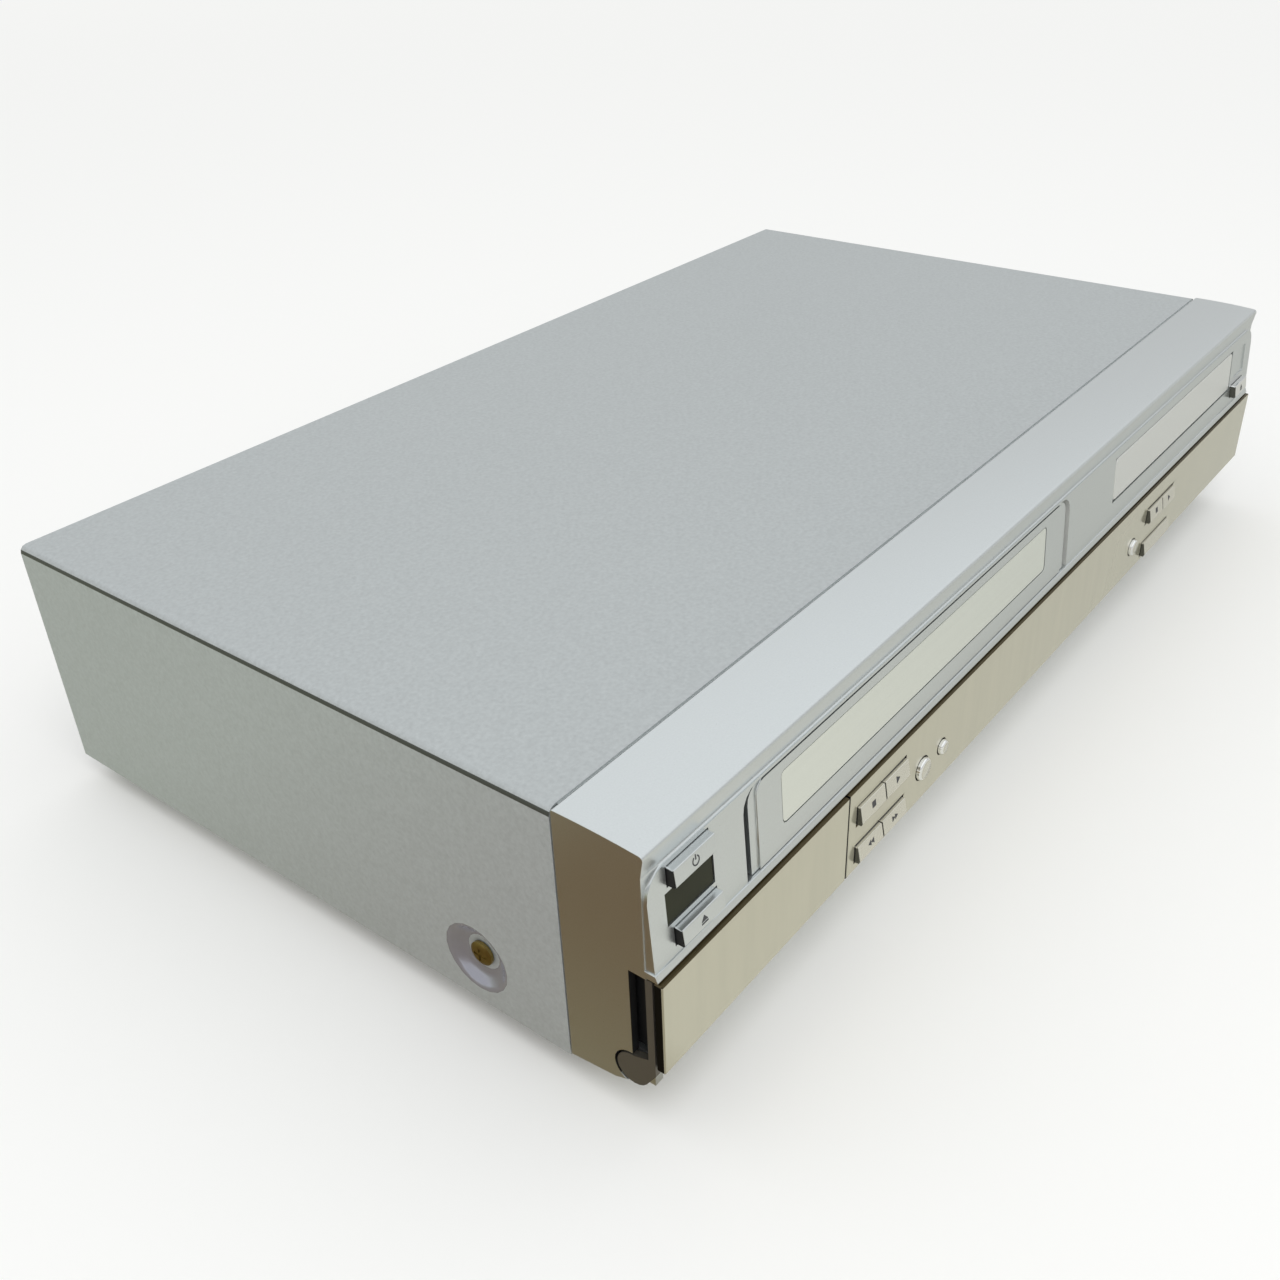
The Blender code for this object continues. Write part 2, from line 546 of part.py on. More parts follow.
def make_fascia_keys():
    """Bar keys that stand off the fascia, a little further at the lower edge."""
    for name, (x0, x1, z0, z1) in FASCIA_KEYS.items():
        low, high = fascia(z0) - FASCIA_KEY_PROUD - 0.3, fascia(z1) - FASCIA_KEY_PROUD
        side = [(3.2, z0), (3.2, z1), (high, z1), (low, z0 + 0.6), (low + 0.5, z0)]
        key = prism(side, "X", x0, x1)
        join(key, block(x0, x1, 2.9, 3.9, z0 - 1.0, z1 + 1.0))
        finish(key, name, CHROME)
    x0, x1, z0, z1 = SENSOR
    window = lean_front(block(x0, x1, -1.5, 1.2, z0, z1), 1.0, 0.3)
    finish(window, "sensor_window", ("2B2E22", 0.2, 0.0))


def make_chassis():
    """Base tray with folded sides, screw tabs, posts and cooling slots."""
    low, high = CHASSIS
    edge = RIGHT - SHEET - RUN
    base = block(-edge, edge, SEAM + 0.4, DEPTH - 2.8, low, high)
    seat = DISH_DEEP + SHEET + 0.4
    for side in (-1, 1):
        fold = sorted((side * edge, side * (edge - 1.2)))
        join(base, block(*fold, SEAM + 0.4, DEPTH - 2.8, low, low + 5.4))
        tab = sorted((side * (RIGHT - seat), side * (RIGHT - seat - 1.2)))
        join(base, block(*tab, SCREW_AT[0] - 8, SCREW_AT[0] + 8, low, SCREW_AT[1] + 7))
        cut(base, rod(SCREW_AT, 1.9, "X", tab[0] - 1, tab[1] + 0.5, 12))
    for x, d, top, radius in chassis_posts():
        join(base, rod((x, d), radius, "Z", low + 0.4, top - FIT, 8))
    for i in range(9):
        x = POWER_BOARD[0] + 12.0 + 10.0 * i
        cut(base, block(x, x + 3.0, 48.0, 82.0, low - 1, high + 1))
    finish(base, "bottom_chassis", STEEL)


def chassis_posts():
    """Posts under the deck, the loader and the two boards: x, depth, top, radius."""
    across, along = (MOUTH[0] - 3.2, MOUTH[1] + 3.0), (38.0, DEPTH - 17.4)
    posts = [(x, d, DECK_Z, 3.5) for x in across for d in along]
    posts += [(x, d, LOADER[2], 2.8) for x in (LOADER[0] - 20.5, LOADER[1] + 4.5) for d in LOADER_FEET]
    for (x0, x1, d0, d1), z in ((SIGNAL_BOARD, SIGNAL_Z), (POWER_BOARD, POWER_Z)):
        posts += [(x, d, z, 2.5) for x in (x0 + 4.0, x1 - 4.0) for d in (d0 + 4.0, d1 - 5.0)]
    return posts


def make_feet():
    across, front, rear = RIGHT - 37.0, 48.0, DEPTH - 27.4
    for name, x, d in (
        ("foot_front_left", -across, front),
        ("foot_front_right", across, front),
        ("foot_rear_left", -across, rear),
        ("foot_rear_right", across, rear),
    ):
        top = CHASSIS[0] - FIT
        profile = [(0, top), (15.0, top), (15.0, top - 2.0), (13.2, 0.8), (12.2, 0.0), (8.0, 0.0)]
        profile += [(7.4, 0.8), (0, 0.8)]
        finish(turned(profile, (x, d), "Z", 18), name, ("202124", 0.7, 0.0))


def make_rear_panel():
    """Rear plate with its sockets' openings and cooling slots."""
    edge = RIGHT - SHEET - SHEET
    start, end = REAR_FACE - 3, REAR_FACE + 1
    top = HEIGHT - SHEET - RUN
    plate = block(-edge, edge, REAR_FACE - REAR_PLATE, REAR_FACE, CHASSIS[1] + FIT, top)
    for x in REAR_SCREWS.values():
        cut(plate, rod((x, REAR_SCREW_Z), 1.9, "Y", start, end, 12))
    for z in JACK_ROWS:
        for x in JACK_COLUMNS:
            cut(plate, rod((x, z), 4.7, "Y", start, end, 12))
    for x in AERIALS:
        cut(plate, rod((x, AERIAL_Z), 5.3, "Y", start, end, 16))
    x, z = INLET_AT
    cut(plate, block(x - 11.4, x + 11.4, start, end, z - 8.4, z + 8.4))
    for i in range(14):
        left = LEFT + 19.0 + 7.0 * i
        cut(plate, block(left, left + 3.0, start, end, top - 44.8, top - 18.8))
    finish(plate, "rear_panel", ("8E9194", 0.5, 0.6))


def make_front_boards():
    """Key boards with their switches, and the display behind the half mirror."""
    near, far = KEY_BOARD_AT, KEY_BOARD_AT + BOARD
    board = block(LEFT + 87.0, RIGHT - 7.0, near, far, PANEL_BOTTOM + 2.3, PANEL_TOP - 2.3)
    join(board, block(RIGHT - 24.5, RIGHT - 7.0, near, far, PANEL_BOTTOM + 2.3, BROW_BOTTOM + 2.0))
    spots = [((x0 + x1) / 2, (z0 + z1) / 2) for x0, x1, z0, z1 in PANEL_KEYS.values()]
    spots += [(x, z) for x, z, _ in ROUND_KEYS.values()]
    for x, z in spots:
        join(board, block(x - 2.2, x + 2.2, 4.4, near + 0.4, z - 2.2, z + 2.2))
    left = block(LEFT + 6.0, LEFT + 31.0, near, far, LEDGE_TOP + 0.6, BROW_BOTTOM + 2.0)
    for name, (x0, x1, z0, z1) in FASCIA_KEYS.items():
        middle = (x0 + x1) / 2
        switch = block(middle - 2.2, middle + 2.2, 5.3, near + 0.4, z0 + 0.4, z1 - 0.4)
        join(board if name == "open_close_button" else left, switch)
    finish(board, "front_board", BOARD_GREEN)
    x, low, high = SENSOR[0] + 5.0, SENSOR[2] + 1.5, SENSOR[3] - 1.4
    join(left, block(x, x + 7.0, 1.6, near + 0.4, low, high))
    finish(left, "switch_board", BOARD_GREEN)
    display = prism(rounded(*DISPLAY, 1.5, 2), "Y", 2.0, near - FIT)
    finish(display, "display_module", ("10231F", 0.15, 0.0))
    x0, x1, z0, z1 = BAY
    middle = FRONT_JACK_Z
    lip = BAY_WALL - 0.2
    jacks = block(x0 - lip, x1 + lip, BAY_BACK + FIT, BAY_BACK + 2.3, z0 - lip, z1 + lip)
    first, last = FRONT_JACKS[0] - 8.0, FRONT_JACKS[-1] + 8.0
    join(jacks, block(first, last, BAY_BACK + 2, BAY_BACK + 16, middle - 9.0, middle + 9.0))
    for x in FRONT_JACKS:
        join(jacks, rod((x, middle), 4.2, "Y", BAY_BACK - 6.8, BAY_BACK + 1, 16))
        cut(jacks, rod((x, middle), 1.6, "Y", BAY_BACK - 8.0, BAY_BACK + 9, 10))
    spot = (FRONT_ROUND_JACK, middle)
    join(jacks, rod(spot, 6.0, "Y", BAY_BACK - 4.8, BAY_BACK + 1, 20))
    cut(jacks, rod(spot, 4.6, "Y", BAY_BACK - 6.0, BAY_BACK - 3.2, 20))
    finish(jacks, "front_jack_block", BLACK)


def make_main_boards():
    """Signal board and power board with their tall components."""
    x0, x1, d0, d1 = SIGNAL_BOARD
    top = SIGNAL_Z + BOARD
    board = block(x0, x1, d0, d1, SIGNAL_Z, top)
    for x, d, radius, height in ((32, 15, 5, 16), (46, 15, 5, 16), (112, 20, 6, 20), (130, 20, 4, 12)):
        join(board, rod((x0 + x, d0 + d), radius, "Z", top - 0.4, top + height, 12))
    for x, d, size in ((70, 45, 24), (32, 55, 16), (112, 70, 20)):
        join(board, block(x0 + x, x0 + x + size, d0 + d, d0 + d + size, top - 0.4, top + 2.6))
    finish(board, "main_board", BOARD_GREEN)
    x0, x1, d0, d1 = POWER_BOARD
    top = POWER_Z + BOARD
    power = block(x0, x1, d0, d1, POWER_Z, top)
    core = block(x0 + 34, x0 + 70, d0 + 18, d0 + 48, top - 0.4, top + 22)
    winding = block(x0 + 39, x0 + 65, d0 + 12, d0 + 54, top - 0.4, top + 16)
    join(power, core, winding)
    for x, d, radius, height in ((96, 20, 11, 26), (16, 16, 6, 18), (16, 34, 6, 18)):
        join(power, rod((x0 + x, d0 + d), radius, "Z", top - 0.4, top + height, 16))
    for i in range(5):
        fin = d0 + 42 + 4 * i
        join(power, block(x0 + 82, x0 + 112, fin, fin + 1.4, top - 0.4, top + 24))
    finish(power, "power_board", ("7A6A45", 0.6, 0.0))


def make_rear_sockets():
    inside = REAR_INSIDE
    tip = DEPTH + REAR_REACH
    low = SIGNAL_Z + BOARD + FIT
    tuner = block(AERIALS[0] - 7.0, AERIALS[1] + 7.0, inside - 42.7, inside, low, AERIAL_Z + 11.0)
    for x in AERIALS:
        join(tuner, rod((x, AERIAL_Z), 4.7, "Y", inside - 1, tip, 16))
        cut(tuner, rod((x, AERIAL_Z), 1.2, "Y", tip - 7, tip + 1, 8))
    finish(tuner, "tuner_box", STEEL)
    first, last = JACK_COLUMNS[0] - 9.0, JACK_COLUMNS[-1] + 9.0
    jacks = block(first, last, inside - 10.7, inside, low, JACK_ROWS[-1] + 8.0)
    for z in JACK_ROWS:
        for x in JACK_COLUMNS:
            join(jacks, rod((x, z), 4.2, "Y", inside - 1, tip - 1.0, 12))
            cut(jacks, rod((x, z), 1.6, "Y", tip - 12, tip, 6))
    finish(jacks, "rear_jack_block", BLACK)
    x, z = INLET_AT
    shell = rounded(x - 11.0, x + 11.0, z - 8.0, z + 8.0, 2.0, 2)
    inlet = prism(shell, "Y", inside - 18.7, REAR_FACE + 1.0)
    flange = rounded(x - 14.0, x + 14.0, z - 11.0, z + 11.0, 2.0, 2)
    join(inlet, prism(flange, "Y", REAR_FACE + FIT, REAR_FACE + 2.0))
    mouth = rounded(x - 7.2, x + 7.2, z - 4.2, z + 4.2, 4.0, 4)
    cut(inlet, prism(mouth, "Y", inside - 11.7, REAR_FACE + 4))
    for side in (-4.3, 4.3):
        join(inlet, rod((x + side, z), 1.2, "Y", inside - 13.7, inside - 0.7, 10))
    finish(inlet, "ac_inlet", BLACK)


def make_deck():
    """Tape deck: plate with guide brackets, drum, reels, capstan and heads."""
    base, top = DECK_Z, DECK_TOP
    x0, x1, d0, d1 = DECK
    plate = block(x0, x1, d0, d1, base, top)
    for outer in GUIDES:
        wall = block(outer, outer + GUIDE_WALL, 44.0, 160.0, top - 0.6, BROW_BOTTOM - 2.0)
        for depth, z in HOLDER_PINS:
            start, end = depth - 2.2, depth + HOLDER_TRAVEL + 2.2
            path = block(outer - 1, outer + 3, start, end, z - 2.2, z + 2.2)
            leg = block(outer - 1, outer + 3, end - 4.4, end, z - 25.0, z + 2.0)
            cut(wall, join(path, leg))
        join(plate, wall)
    for spot in REELS.values():
        join(plate, rod(spot, 2.0, "Z", base + 0.4, base + 23.0, 12))
    join(plate, rod(CAPSTAN_AT, 6.0, "Z", base + 0.4, base + 10.0, 16))
    cut(plate, rod(CAPSTAN_AT, 2.4, "Z", base - 1, base + 12.0, 12))
    join(plate, rod(PINCH_AT, 3.6, "Z", base + 0.4, base + 13.7, 12))
    join(plate, rod(PINCH_AT, 2.0, "Z", base + 6.0, base + 33.0, 12))
    for side in (-1, 1):
        x = CASSETTE_MID + side * 44.0
        path = rounded(x - 3, x + 3, DRUM_AT[1] - 64.0, DRUM_AT[1] - 10.0, 2.9, 3)
        cut(plate, prism(path, "Z", base - 1, top + 1))
    finish(plate, "deck_plate", STEEL)
    make_drum()
    make_reels()
    low, high = CHASSIS[1] + 2.8, base - 1.4
    wheel = [(0, low), (24.0, low), (24.0, high - 1.0), (8.0, high), (2.0, high)]
    wheel += [(2.0, base + 34.0), (0, base + 34.6)]
    finish(turned(wheel, CAPSTAN_AT, "Z", 20), "capstan", STEEL, (*CAPSTAN_AT, high))
    low, high = base + 14.0, base + 30.0
    roller = [(2.4, low), (7.4, low), (8.0, low + 0.6), (8.0, high - 0.6), (7.4, high), (2.4, high)]
    finish(turned(roller, PINCH_AT, "Z", 16), "pinch_roller", BLACK, (*PINCH_AT, low))
    for name, side in (("erase_head", -34.2), ("audio_head", 34.2)):
        x, near = CASSETTE_MID + side, DRUM_AT[1] - 38.0
        head = prism(rounded(x - 4.5, x + 4.5, near, near + 9.0, 2.0, 3), "Z", top + FIT, base + 28.0)
        finish(head, name, CHROME)


def make_reels():
    base, top = DECK_Z, DECK_TOP
    for name, (x, d) in REELS.items():
        profile = [(2.4, top + FIT), (21.0, top + FIT), (21.0, top + 3.4), (9.0, top + 4.4)]
        profile += [(7.4, top + 6.0), (6.2, base + 20.0), (4.6, base + 22.0), (2.4, base + 22.0)]
        reel = turned(profile, (x, d), "Z", 16)
        for turn in range(3):
            angle = math.radians(120 * turn)
            fin = block(5.0, 8.8, -0.8, 0.8, top + 4.0, base + 18.0)
            place_tool(fin, angle, (x, d))
            join(reel, fin)
        finish(reel, name, NATURAL, (x, d, top))


def place_tool(obj, angle, centre):
    """Turns a tool made on the Z axis and moves it to a centre."""
    origin = Vector((0, FRONT_Y * MM, 0))
    turn = Matrix.Rotation(angle, 4, "Z")
    move = Matrix.Translation(Vector((centre[0], centre[1] + FRONT_Y, 0)) * MM)
    obj.data.transform(move @ turn @ Matrix.Translation(-origin))


def make_drum():
    """Fixed lower drum on its foot and the leaning upper drum above it."""
    base, split, wide = DECK_Z, DRUM_SPLIT, DRUM_RADIUS
    pivot = Vector((DRUM_AT[0], DRUM_AT[1] + FRONT_Y, split)) * MM
    lean = Matrix.Translation(pivot) @ Matrix.Rotation(-DRUM_LEAN, 4, "X") @ Matrix.Translation(-pivot)
    body = [(3.0, base + 5.5), (wide - 6.0, base + 5.5), (wide, base + 9.5), (wide, split), (3.0, split)]
    lower = turned(body, DRUM_AT, "Z", 26)
    lower.data.transform(lean)
    low, high, rim = DECK_TOP + FIT, base + 7.0, wide + 2.0
    foot = turned([(6.0, low), (rim, low), (rim, high), (6.0, high)], DRUM_AT, "Z", 20)
    finish(join(lower, foot), "lower_drum", CHROME)
    low, high = split + 0.4, split + 16.0
    head = [(0, base + 6.0), (2.5, base + 6.0), (2.5, low), (wide, low)]
    head += [(wide, high - 1.0), (wide - 1.0, high)]
    head += [(20.0, high), (19.0, high - 3.0), (8.0, high - 3.0), (7.0, high + 0.5), (0, high + 0.5)]
    upper = turned(head, DRUM_AT, "Z", 26)
    upper.data.transform(lean)
    finish(upper, "upper_drum", CHROME, (*DRUM_AT, split))


def make_holder():
    """Sheet cradle that carries a cassette in: floor, sides, top lips and pins."""
    x0, x1 = FLAP[0] - 0.2, FLAP[1] + 0.2
    low, high = MOUTH[2] - 2.2, MOUTH[3] + 1.2
    sheet = 1.2
    outline = [(x0 - sheet, low), (x1 + sheet, low), (x1 + sheet, high), (x1 - 7.0, high)]
    outline += [(x1 - 7.0, high - sheet), (x1, high - sheet), (x1, low + sheet), (x0, low + sheet)]
    outline += [(x0, high - sheet), (x0 + 7.0, high - sheet), (x0 + 7.0, high), (x0 - sheet, high)]
    holder = prism(outline, "Y", *HOLDER)
    window = rounded(CASSETTE_MID - 60, CASSETTE_MID + 60, HOLDER[0] + 32.0, HOLDER[1] - 8.0, 6, 3)
    cut(holder, prism(window, "Z", low - 1, low + sheet + 1))
    for depth, z in HOLDER_PINS:
        join(holder, rod((depth, z), 1.7, "X", x0 - 0.6, GUIDES[0] - 0.8, 12))
        join(holder, rod((depth, z), 1.7, "X", x1 + 0.6, GUIDES[1] + GUIDE_WALL + 0.8, 12))
    finish(holder, "cassette_holder", STEEL)


def make_loader():
    """Disc loader: frame with rails, spindle, pickup on two rods and clamp."""
    x0, x1, z0, z1 = LOADER
    front, back = LOADER_FRONT, LOADER_BACK
    middle, hub_at = DISC_AT
    frame = block(x0, x1, front, back, z0, z0 + 2.4)
    cut(frame, block(middle - 28.5, middle + 28.5, hub_at + 16, hub_at + 78, z0 - 1, z0 + 4))
    for left, right in ((x0, x0 + 2.5), (x1 - 2.5, x1)):
        join(frame, block(left, right, front, back, z0 + 0.4, z1))
    join(frame, block(x0, x1, back - 2.4, back, z0 + 0.4, z1 - 6.0))
    for left, right in ((x0 + 2.0, x0 + 9.0), (x1 - 9.0, x1 - 2.0)):
        join(frame, block(left, right, front, back - 4, TRAY_BOTTOM - 3.3, TRAY_BOTTOM - FIT))
        join(frame, block(left, right, front, back - 4, TRAY_TOP + FIT, TRAY_TOP + 2.0))
    for left, right in ((x0 - 24.0, x0 + 1), (x1 - 1, x1 + 8.5)):
        for depth in LOADER_FEET:
            join(frame, block(left, right, depth - 5, depth + 5, z0, z0 + 2.4))
    join(frame, rod(DISC_AT, 12.0, "Z", z0 + 1, z0 + 8.5, 20))
    cut(frame, rod(DISC_AT, 1.9, "Z", z0 - 1, z0 + 10.0, 10))
    rods = {"guide_rod_left": middle - 21.0, "guide_rod_right": middle + 21.0}
    rod_z = z0 + 6.0
    for x in rods.values():
        for start in (hub_at + 11.0, hub_at + 79.0):
            join(frame, block(x - 3.5, x + 3.5, start, start + 4.0, z0 + 1, z0 + 9.5))
            cut(frame, rod((x, rod_z), 1.8, "Y", start - 1, start + 5, 10))
    finish(frame, "loader_frame", BLACK)
    for name, x in rods.items():
        finish(rod((x, rod_z), 1.5, "Y", hub_at + 10.0, hub_at + 84.0, 10), name, CHROME)
    seat = z0 + 8.9
    hub = [(0, z0 + 3.0), (1.5, z0 + 3.0), (1.5, seat), (14.5, seat), (14.5, seat + 1.7)]
    hub += [(8.0, seat + 2.3), (7.2, seat + 4.3), (4.0, seat + 5.5), (0, seat + 5.5)]
    finish(turned(hub, DISC_AT, "Z", 18), "turntable", BLACK, (*DISC_AT, seat))
    near = hub_at + 16.0
    sled = block(middle - 25.0, middle + 25.0, near, near + 17.0, z0 + 3.2, z0 + 9.4)
    join(sled, rod((middle, near + 8.5), 4.0, "Z", z0 + 9.0, z0 + 12.6, 16))
    for x in rods.values():
        cut(sled, rod((x, rod_z), 1.85, "Y", near - 2, near + 19, 10))
    finish(sled, "pickup_sled", ("4A4D52", 0.4, 0.6))
    bridge = block(x0, x1, hub_at - 12.0, hub_at + 12.0, z1 + FIT, z1 + 1.7)
    low, high = TRAY_TOP + 2.6, z1 + 1.0
    puck = [(0, low), (13.0, low), (14.0, low + 1.0), (14.0, high - 2.0), (5.0, high), (0, high)]
    join(bridge, turned(puck, DISC_AT))
    finish(bridge, "disc_clamp", STEEL)


def main():
    for obj in list(bpy.data.objects):
        bpy.data.objects.remove(obj)
    make_cover()
    screw("cover_screw_left", SCREW_AT, "X", LEFT + DISH_DEEP, -1)
    screw("cover_screw_right", SCREW_AT, "X", RIGHT - DISH_DEEP, 1)
    for name, x in REAR_SCREWS.items():
        screw(name, (x, REAR_SCREW_Z), "Y", DEPTH, 1)
    make_bezel()
    make_jack_pocket()
    make_lower_panel()
    make_door()
    make_flap()
    make_drawer()
    make_panel_keys()
    make_fascia_keys()
    make_chassis()
    make_feet()
    make_rear_panel()
    make_front_boards()
    make_main_boards()
    make_rear_sockets()
    make_deck()
    make_holder()
    make_loader()


main()
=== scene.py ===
import json
import math

import bmesh
import bpy
from mathutils import Matrix, Vector


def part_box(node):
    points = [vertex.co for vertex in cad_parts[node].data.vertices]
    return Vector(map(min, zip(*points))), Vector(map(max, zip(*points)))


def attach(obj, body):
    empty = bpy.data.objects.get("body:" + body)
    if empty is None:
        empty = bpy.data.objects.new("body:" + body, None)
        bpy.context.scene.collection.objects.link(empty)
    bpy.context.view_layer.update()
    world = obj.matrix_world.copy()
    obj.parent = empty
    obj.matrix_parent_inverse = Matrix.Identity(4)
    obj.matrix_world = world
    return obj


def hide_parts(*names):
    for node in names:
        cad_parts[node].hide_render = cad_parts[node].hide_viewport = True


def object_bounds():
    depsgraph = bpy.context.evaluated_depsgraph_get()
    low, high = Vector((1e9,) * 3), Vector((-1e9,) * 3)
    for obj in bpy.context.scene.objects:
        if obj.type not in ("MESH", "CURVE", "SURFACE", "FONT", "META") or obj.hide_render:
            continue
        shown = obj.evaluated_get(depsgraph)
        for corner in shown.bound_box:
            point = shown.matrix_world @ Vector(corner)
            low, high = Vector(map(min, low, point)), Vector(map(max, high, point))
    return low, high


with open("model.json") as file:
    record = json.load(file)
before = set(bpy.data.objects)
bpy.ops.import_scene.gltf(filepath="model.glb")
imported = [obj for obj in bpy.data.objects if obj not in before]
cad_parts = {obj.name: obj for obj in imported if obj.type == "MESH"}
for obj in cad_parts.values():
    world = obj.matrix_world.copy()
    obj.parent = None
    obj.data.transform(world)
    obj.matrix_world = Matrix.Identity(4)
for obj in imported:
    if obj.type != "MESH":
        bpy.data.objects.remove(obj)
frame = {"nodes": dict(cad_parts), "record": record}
CAD_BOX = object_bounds()

bl_info = {
    "name": "Disc and cassette deck looks",
    "version": (1, 0, 0),
    "blender": (4, 5, 0),
    "location": "View3D > Sidebar > Deck",
    "description": "Finishes, key marks, screws and sockets for a home disc and cassette deck",
    "category": "Object",
}

MM = 0.001
CABINET = "cabinet"
KEY_NODES = (
    "stop_button", "play_button", "rewind_button", "forward_button",
    "disc_stop_button", "disc_play_button", "disc_skip_button",
)
ROUND_KEY_NODES = ("record_button", "select_button", "disc_select_button")
# Keys whose ends are painted black: painted shade for the dark they mirror.
BLACK_ENDED_KEY_NODES = ("power_button", "eject_button")
SCREW_NODES = {
    "cover_screw_left": (-1, 0, 0),
    "cover_screw_right": (1, 0, 0),
    "rear_screw_left": (0, 1, 0),
    "rear_screw_mid": (0, 1, 0),
    "rear_screw_right": (0, 1, 0),
}

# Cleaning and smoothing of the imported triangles.
MERGE_DISTANCE = 0.002 * MM
FLAT_ANGLE = math.radians(0.6)
CORNER_ANGLE = math.radians(40)
SMOOTH_ANGLE = math.radians(32)
SCREW_SMOOTH_ANGLE = math.radians(36)
BEVEL_STEPS = 2
ON_BOX = 0.01 * MM

# The edges that are rounded are longer than these.
LONG_PANEL_EDGE = 20.0 * MM
LONG_DRAWER_EDGE = 2.0 * MM
LONG_KEY_EDGE = 3.0 * MM

# How much of a face's normal runs along an axis when the face counts as facing that way.
FACING = 0.7
FACING_NEARLY = 0.6
FACING_FULLY = 0.9

# The strip of the cover's fold that gets a painted dark reflection.
FOLD_DROP = 4 * MM
FOLD_TURN = (0.9, 0.98)
FOLD_RISE = 0.1

# The dish round each side screw: its reach, its depth at the rim and its sloping wall.
DISH_REACH = 12 * MM
DISH_RIM_DEPTH = 0.03 * MM
DISH_SLOPE = 0.985

# How far behind the bay's front the notch has its back, and how near the mouth's end its wall lies.
NOTCH_DEPTH = 2 * MM
MOUTH_REACH = 4 * MM

# The lip in the seam between the cover and the front.
LIP_DROP = 0.45 * MM
LIP_SETBACK = 3.0 * MM
LIP_THICKNESS = 0.9 * MM
LIP_CLEARANCE = 0.01 * MM

# The black sheet that keeps the inside in shade, from the left and lower edges of the rear panel.
SHEET_ACROSS = (15.0 * MM, 113.0 * MM)
SHEET_UP = (31.5 * MM, 61.5 * MM)
SHEET_THICKNESS = 0.3 * MM

# A pointer's length, as a share of its height.
POINTER_SHARE = 0.87

# A wedge key's sloping cap: its depth, and how near a corner is to the crest or the top edge.
CAP_DEPTH = 4.5 * MM
CREST_SLACK = 0.02 * MM
TOP_SLACK = 0.1 * MM

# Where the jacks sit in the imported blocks, from the block's left and upper edges.
REAR_JACK_INSET = (9.0 * MM, 8.0 * MM)
REAR_JACK_PITCH = (18.5 * MM, 16.0 * MM)
REAR_JACK_ROWS = 2
REAR_JACK_COLUMNS = 5
FRONT_JACK_INSET = 24.8 * MM
FRONT_JACK_PITCH = 14.0 * MM
FRONT_JACK_COUNT = 3

# A pan head's shares: the crown and the slots of its radius, the rim of its height.
CROWN_SHARE = 0.66
SLOT_SHARE = 1.1
RIM_SHARE = 0.55
SCREW_SIDES = 32
COLLAR_SIDES = 28

# The stage, in metres, with the deck at the origin.
FLOOR_REACH = 30.0
FLOOR_FADE = (0.6, 5.0)
CARD_REACH = 3.0
CARD_LIFT = 0.5 * MM

# The card's colours, seen only as painted reflections, from left to right, over a span to either side of
# the middle.
CARD_SPAN = 0.3
CARD_STOPS = (
    (-0.27, "664A14"), (-0.22, "7A6C48"), (-0.19, "E2E2DA"), (-0.09, "DADAD2"), (0.12, "CACBC5"),
)

# The least x at which those colours are read, in front of the deck and from its front backwards.
CARD_FRONT = (-0.22, -0.17)
CARD_FRONT_LIMIT = (-0.19, -1.0)

# Where the card turns olive: more with y over this range, and only left of the deck.
CARD_OLIVE_Y = (-0.04, 0.1)
CARD_OLIVE_X = (-0.215, -0.2)

# How high, on a sky of radius 1, the light is full, and the colours of the wall going up.
SKY_RISE = 0.5
WALL_STOPS = ((0.0, "FAFAF8"), (0.12, "C6C6C4"), (0.3, "BEBEBE"), (0.54, "FAFDFF"))

# The lamp, in metres and watts.
LAMP_PLACE = Vector((-0.6, -0.7, 1.6))
LAMP_AIM = Vector((-0.1, 0.0, 0.09))
LAMP_SIZE = 1.0
LAMP_POWER = 5.0

# The photograph's camera, fitted to the cabinet's edges: millimetres, metres and degrees.
SENSOR_WIDTH = 36.0
LENS = 37.113
CAMERA_PLACE = Vector((-0.38076, -0.26314, 0.27976))
CAMERA_AZIMUTH = -50.797
CAMERA_ELEVATION = 32.153
CAMERA_ROLL = -2.402
CLIP_START = 0.01


def linear(hex_colour):
    """Linear red, green, blue and alpha of an sRGB hex colour."""
    channels = [int(hex_colour[i:i + 2], 16) / 255 for i in (0, 2, 4)]
    lit = [c / 12.92 if c <= 0.04045 else ((c + 0.055) / 1.055) ** 2.4 for c in channels]
    return (*lit, 1.0)


def colour_property(label, about, hex_colour):
    return bpy.props.FloatVectorProperty(
        name=label, description=about, subtype="COLOR", size=4,
        min=0.0, max=1.0, default=linear(hex_colour),
    )


def length_property(label, about, millimetres):
    return bpy.props.FloatProperty(
        name=label, description=about, subtype="DISTANCE", unit="LENGTH",
        min=0.0, default=millimetres * MM,
    )


class DeckSizes(bpy.types.PropertyGroup):
    """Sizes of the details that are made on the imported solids."""

    dish_edge: length_property("Dish edge", "Rounding of the dishes round the side screws", 1.2)
    shell_edge: length_property("Shell edge", "Rounding of the front moulding's ends", 0.5)
    panel_edge: length_property("Panel edge", "Rounding of the long half-mirror panel", 0.4)
    key_edge: length_property("Key edge", "Rounding of the keys and the drawer front", 0.3)
    mark_height: length_property("Key mark", "Height of the marks on the keys", 2.3)
    mark_lift: length_property("Mark lift", "How far a printed mark stands off its key", 0.05)
    screw_radius: length_property("Screw head", "Radius of a screw's pan head", 3.8)
    screw_height: length_property("Screw height", "Height of a screw's pan head", 1.5)
    cross_width: length_property("Cross slot", "Width of the cross recess in a screw", 0.9)
    collar_radius: length_property("Jack collar", "Outer radius of a coloured jack collar", 4.0)
    collar_bore: length_property("Jack bore", "Inner radius of a coloured jack collar", 2.1)
    collar_depth: length_property("Jack depth", "Length of a coloured jack collar", 0.8)


